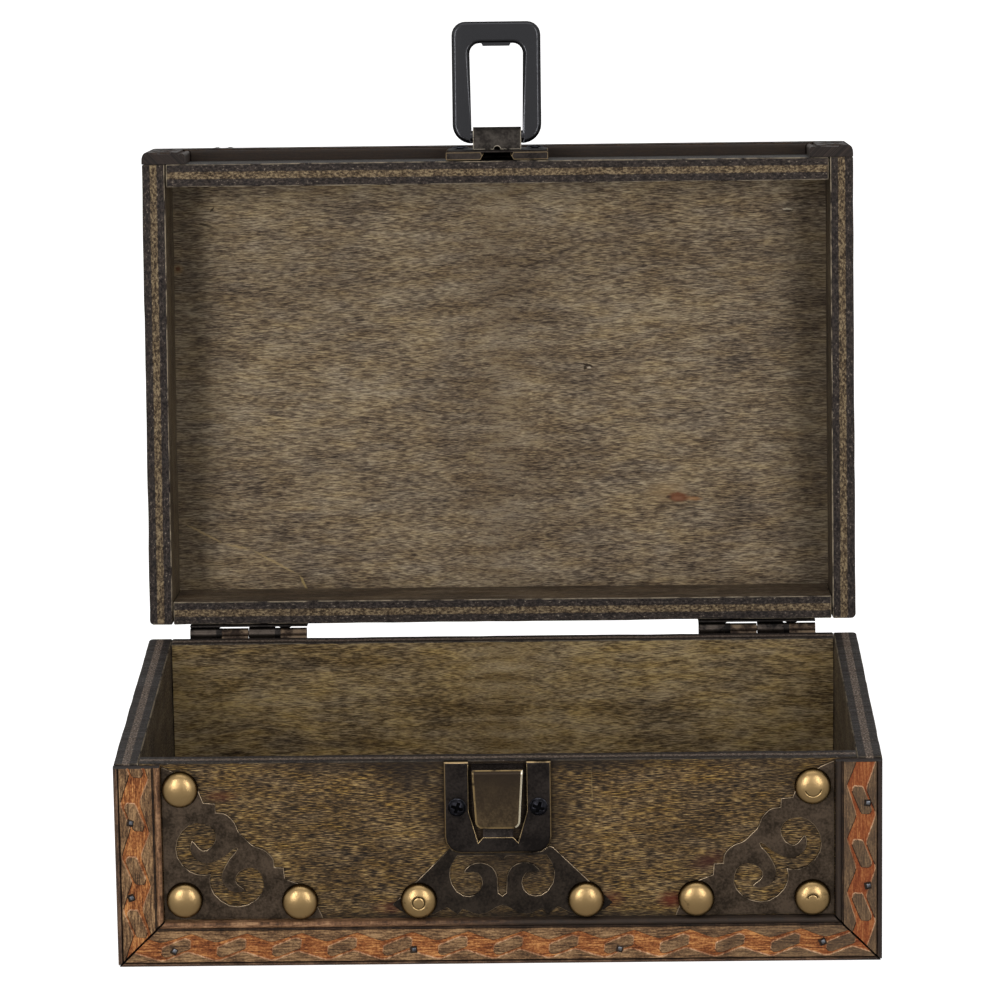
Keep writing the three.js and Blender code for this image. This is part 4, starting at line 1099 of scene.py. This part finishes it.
# %% Ring plate, with a notch in its rim
# Rubbed steel: greyer than the tray
rubbed_clip = aged_metal("rubbed_steel_clip", "#211e1c", "#37332f", "#7d7568", 3, 0.1)
# Wood bruised round a brad, and painted shade in the ring plate's notch: the same mottles without
# the metal, dull and nearly black
bruise_and_shade_wood = aged_metal("bruise_and_painted_shade_wood", "#1a1411", "#33281f", "#33281f", 2, 0.4, (0.8, 0.7),
                          metallic=0.0)

notch_half, notch_slant, notch_depth = 4.9, 0.35, 0.6
below = Vector((0, 0, -1))
bm = merged_copy("ring_plate")
rim_faces = facing(bm, below, low=-rim_mm - 1, high=-rim_mm + 0.05)
for side in (-1, 1):
    cut_at = Vector((side * notch_half * MM, front_y - 1.6 * MM, 0))
    slanted = Vector((1, side * notch_slant, 0)).normalized()
    around = {item for face in rim_faces for item in (face, *face.edges, *face.verts)}
    bmesh.ops.bisect_plane(bm, geom=list(around), plane_co=cut_at, plane_no=slanted)
    rim_faces = facing(bm, below, low=-rim_mm - 1, high=-rim_mm + 0.05)
notch = [face for face in rim_faces if abs(face.calc_center_median().x) < 4 * MM]
bmesh.ops.inset_region(bm, faces=notch, thickness=0.12 * MM, depth=-notch_depth * MM,
                       use_even_offset=True)
# The notch gets the nearly black wood: painted shade
for face in notch:
    face.material_index = 1
mark_worn(bm, [face for face in bm.faces if 0.3 < abs(face.normal.x) < 0.9])
ends = break_edges(bm, [face for face in rim_faces if face.is_valid and face not in notch], 0.18, (0, 0, 0))
mark_worn(bm, ends, 0.35)

# %% Rub its clip, which stands out furthest, between two heights
clip_out, clip_foot, clip_top = 7.9, 69.0, 72.2
clip_faces = facing(bm, below, low=-clip_foot - 0.6, high=-clip_foot)
clip_faces += [
    face for face in bm.faces if face.calc_center_median().y < front_y - clip_out * MM
    and face.normal.z < -0.1 and clip_foot * MM < face.calc_center_median().z < clip_top * MM
]
for face in clip_faces + break_edges(bm, clip_faces, 0.25, (0, 0, 0)):
    face.material_index = 2
plate_metals = [bronzed_tray, bruise_and_shade_wood, rubbed_clip]
piece("ring_plate_stamping", bm, "lid", plate_metals, ["ring_plate"])

# %% [markdown]
# Four cross-head screws hold the two plates. They are copied from the solids, their edges are eased, and
# they are turned a little, as a screwdriver leaves them. The recess gets a darker material of its own.

# %% Cross-head screws of the latch
# Blackened steel: blue-black, paler on the rim of the head, partly wear and partly a painted highlight
black_screw = aged_metal("blackened_steel_screw", "#121214", "#27272c", "#5e5e66", 3, 0.2, (0.45, 0.35))
# No light gets into the recess: flat black
dark_recess = aged_metal("shadowed_screw_recess", "#060607", "#0f0f11", "#0f0f11", 3, 0.2, (0.8, 0.7))

screw_ease = 0.12 * MM
recess_half = 1.4 * MM
recess_from = 0.15 * MM
worn_share = 0.8
screw_turn = math.radians(20)
for node in ("catch_screw_left", "catch_screw_right", "ring_plate_screw_left", "ring_plate_screw_right"):
    bm = merged_copy(node)
    sharp = [edge for edge in bm.edges if edge.is_manifold and edge.calc_face_angle() > math.radians(50)]
    bmesh.ops.bevel(bm, geom=sharp, offset=screw_ease, affect="EDGES", segments=1, profile=0.5,
                    material=-1, clamp_overlap=True)
    low, high = shut_box(node)
    middle = (high + low) / 2
    rim_from = worn_share * (high.x - low.x) / 2
    for face in bm.faces:
        centre = face.calc_center_median()
        from_axis = (Vector((1, 0, 1)) * (centre - middle)).length
        if from_axis < recess_half and centre.y > low.y + recess_from:
            face.material_index = 1
        # The rim of the head that faces the front is paler: partly wear, partly painted highlight
        mark_worn(bm, [face], float(from_axis > rim_from and face.normal.y < -0.3))
    bmesh.ops.rotate(bm, cent=middle, matrix=Matrix.Rotation(screw_turn, 3, "Y"), verts=bm.verts)
    piece(node + "_steel", bm, body_of(node), [black_screw, dark_recess], [node])

# %% [markdown]
# ## Ring
#
# The ring is a cast loop with rounded edges and a bar across its open end. Its outline is drawn flat as
# one face, extruded to its thickness, and its long edges are bevelled. The wide flat between them stays
# dark and even, and only a faint thin line shows along the roundings, which are painted darker than the
# flats as shade. A short tab inside the top catches behind the tongue.

# %% Measures of the ring, in millimetres from its pivot
ring_low, ring_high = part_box("latch_ring")
ring_half = (ring_high.x - ring_low.x) / 2 / MM
ring_top, ring_foot, ring_thick, ring_ease = 37.3, 2.1, 3.0, 1.3
top_round, foot_round = 4.4, 6.2
inner_foot, inner_half, inner_top, inner_round = 8.2, 8.65, 30.3, 3.3
tab_half, tab_depth = 5.2, 0.9
bar_radius, bar_length = 2.0, 2 * inner_foot + 1
print("ring", round(2 * ring_half, 2), "mm wide")

# %% Outline of the ring
half_outline = [(-inner_foot, -ring_foot)]
half_outline += arc((foot_round - ring_half, foot_round - ring_foot), foot_round, 270, 180, 8)
half_outline += arc((top_round - ring_half, ring_top - top_round), top_round, 180, 90, 6)
other_half = [(-along, across) for along, across in reversed(half_outline)]
inner_side = arc((inner_half - inner_round, inner_top - inner_round), inner_round, 0, 90, 6)
inner_other = [(-along, across) for along, across in reversed(inner_side)]
outline = [*half_outline, *other_half, *inner_side, *inner_other]
print("ring's outline has", len(outline), "points")

# %% Loop of the ring, extruded and rounded
bm = bmesh.new()
bm.faces.layers.float.new("worn")
loop_face = bm.faces.new([bm.verts.new((along, -ring_thick / 2, across)) for along, across in outline])
pulled = bmesh.ops.extrude_face_region(bm, geom=[loop_face], use_keep_orig=True)["geom"]
pulled_vertices = [item for item in pulled if isinstance(item, bmesh.types.BMVert)]
bmesh.ops.translate(bm, vec=(0, ring_thick, 0), verts=pulled_vertices)
bmesh.ops.recalc_face_normals(bm, faces=bm.faces)
long_edges = [edge for edge in bm.edges if abs(edge.verts[0].co.y - edge.verts[1].co.y) < 0.1]
bmesh.ops.bevel(bm, geom=long_edges, offset=ring_ease, affect="EDGES", segments=5, profile=0.5,
                material=-1)

# %% Its tab and its bar
# Black nickel over a smooth casting: black, with a faint sheen along the roundings, which are painted
# darker than the flats as shade
ring_black = aged_metal("black_nickel_ring", "#0d0d0e", "#19191b", "#343436", 8, -0.4, (0.3, 0.2), 0.17)

tab = bmesh.ops.create_cube(bm, size=1)["verts"]
bmesh.ops.scale(bm, vec=(2 * tab_half, 0.6 * ring_thick, 2 * tab_depth), verts=tab)
tab_foot = [vertex for vertex in tab if vertex.co.z < 0]
bmesh.ops.scale(bm, vec=(1 - tab_depth / tab_half, 1, 1), verts=tab_foot)
bmesh.ops.translate(bm, vec=(0, 0, inner_top), verts=tab)
bar = bmesh.ops.create_cone(bm, cap_ends=True, segments=32, radius1=bar_radius, radius2=bar_radius,
                            depth=bar_length)["verts"]
bmesh.ops.rotate(bm, cent=(0, 0, 0), matrix=Matrix.Rotation(math.radians(90), 3, "Y"), verts=bar)
bmesh.ops.triangulate(bm, faces=[face for face in bm.faces if len(face.verts) > 4])
bm.normal_update()
# The flats that face front and back get the paler colour, so the roundings stay darker: painted shade
mark_worn(bm, [face for face in bm.faces if abs(face.normal.y) > 0.6])
bmesh.ops.scale(bm, vec=(MM, MM, MM), verts=bm.verts)
bmesh.ops.transform(bm, matrix=ring_place, verts=bm.verts)
piece("latch_ring_casting", bm, "ring", [ring_black], ["latch_ring"], smooth=50)

# %% [markdown]
# ## Hinges
#
# Two small butt hinges hold the lid. Only their knuckles show from the front. The lid's leaf is dark and
# the body's leaf browner, as if from another batch. A strip widens the lid's leaf and a collar on the pin
# fills each wide gap between two knuckles, so that less light shows through than through the solids.

# %% Hinge leaves
# Steel with an antique finish: a dull brownish black
hinge_steel = aged_metal("antique_hinge_steel", "#171514", "#2c2826", "#5b5149", 5, 0.2)
# The browner batch
brown_hinge = aged_metal("browned_hinge_steel", "#231c18", "#43372d", "#6f5f4c", 5, 0.2)

leaf_thick, leaf_reach, leaf_above_axis = 0.45, 3.6, 2.45
for side in ("left", "right"):
    for leaf, metal in (("body", brown_hinge), ("lid", hinge_steel)):
        node = f"hinge_{side}_{leaf}_leaf"
        bm = merged_copy(node)
        mark_worn(bm, [face for face in bm.faces if 0.15 < abs(face.normal.y) < 0.95], 0.4)
        if leaf == "lid":
            low, high = shut_box(node)
            strip = bmesh.ops.create_cube(bm, size=1)["verts"]
            bmesh.ops.scale(bm, vec=(high.x - low.x, leaf_thick * MM, leaf_reach * MM), verts=strip)
            height = hinge_axis.z + leaf_above_axis * MM - leaf_reach * MM / 2
            middle = Vector(((high.x + low.x) / 2, low.y + leaf_thick * MM / 2, height))
            bmesh.ops.translate(bm, vec=middle, verts=strip)
        piece(node + "_steel", bm, body_of(node), [metal], [node])

# %% [markdown]
# A hinge pin is a plain rod, so it is made anew from cylinders: the rod and its two collars. The small
# hinge screws sit in the leaves on the outside of the back, where they show when the chest is shut. They
# keep their solids and only change material.

# %% Hinge pins and screws
collar_reach, collar_length, collar_radius = 9.55, 1.84, 1.75
for side in ("left", "right"):
    node = f"hinge_{side}_pin"
    low, high = shut_box(node)
    bm = bmesh.new()
    bm.faces.layers.float.new("worn")
    rods = [
        (0, (high.x - low.x) / MM, (high.z - low.z) / 2 / MM),
        (-collar_reach, collar_length, collar_radius),
        (collar_reach, collar_length, collar_radius),
    ]
    for along, length, radius in rods:
        rod = bmesh.ops.create_cone(bm, cap_ends=True, segments=24, radius1=radius * MM, radius2=radius * MM,
                                    depth=length * MM)["verts"]
        bmesh.ops.translate(bm, vec=(0, 0, along * MM), verts=rod)
    bmesh.ops.rotate(bm, cent=(0, 0, 0), matrix=Matrix.Rotation(math.radians(90), 3, "Y"), verts=bm.verts)
    bmesh.ops.translate(bm, vec=(high + low) / 2, verts=bm.verts)
    piece(node + "_steel", bm, body_of(node), [hinge_steel], [node])
for name, node in frame["nodes"].items():
    if name.startswith("hinge") and "screw" in name:
        node.material_slots[0].material = black_screw

# %% [markdown]
# ## Brads
#
# The mouldings are nailed on with small square brads, their heads sunk to the surface and turned every
# which way. The wood round each head is bruised and dark.

# %% Brads along the mouldings
body_brads = [
    (-110.0, 45.5, 12), (-110.4, 22.1, -20), (110.4, 49.6, 8), (110.6, 23.8, -10),
    (-97.9, 5.3, 30), (-25.9, 5.1, -8), (36.0, 4.8, 14), (97.0, 6.4, -25),
]
lid_brads = [(-93.0, top_mm - 1.3, 10), (-88.7, top_mm - 1.3, 35)]
brad_length = 3.0
bruise_width, bruise_proud = 2.1, 0.05
head_width, head_proud, head_slip = 1.15, 0.2, (0.2, 0.1)
# Cut iron wire: a small grey square
iron_nail = aged_metal("grey_iron_brad", "#3f3f42", "#73757a", "#a0a2a8", 1.5, 0.4)


def add_blocks(bm, places, width, proud):
    """Square blocks along Y whose outer ends stand proud of the moulding."""
    for x, z, turn in places:
        block = bmesh.ops.create_cube(bm, size=1)["verts"]
        bmesh.ops.scale(bm, vec=(width * MM, brad_length * MM, width * MM), verts=block)
        bmesh.ops.rotate(bm, cent=(0, 0, 0), matrix=Matrix.Rotation(math.radians(turn), 3, "Y"), verts=block)
        out = -front_mm - moulding_thick - proud + brad_length / 2
        bmesh.ops.translate(bm, vec=Vector((x, out, z)) * MM, verts=block)


for name, body, places in (("body_trim_brads", "body", body_brads), ("lid_trim_brads", "lid", lid_brads)):
    bm = bmesh.new()
    add_blocks(bm, places, bruise_width, bruise_proud)
    for face in bm.faces:
        face.material_index = 1
    heads = [(x + head_slip[0], z + head_slip[1], turn) for x, z, turn in places]
    add_blocks(bm, heads, head_width, head_proud)
    bmesh.ops.bevel(bm, geom=list(bm.edges), offset=0.15 * MM, affect="EDGES", segments=2, profile=0.5,
                    material=-1)
    piece(name, bm, body, [iron_nail, bruise_and_shade_wood])
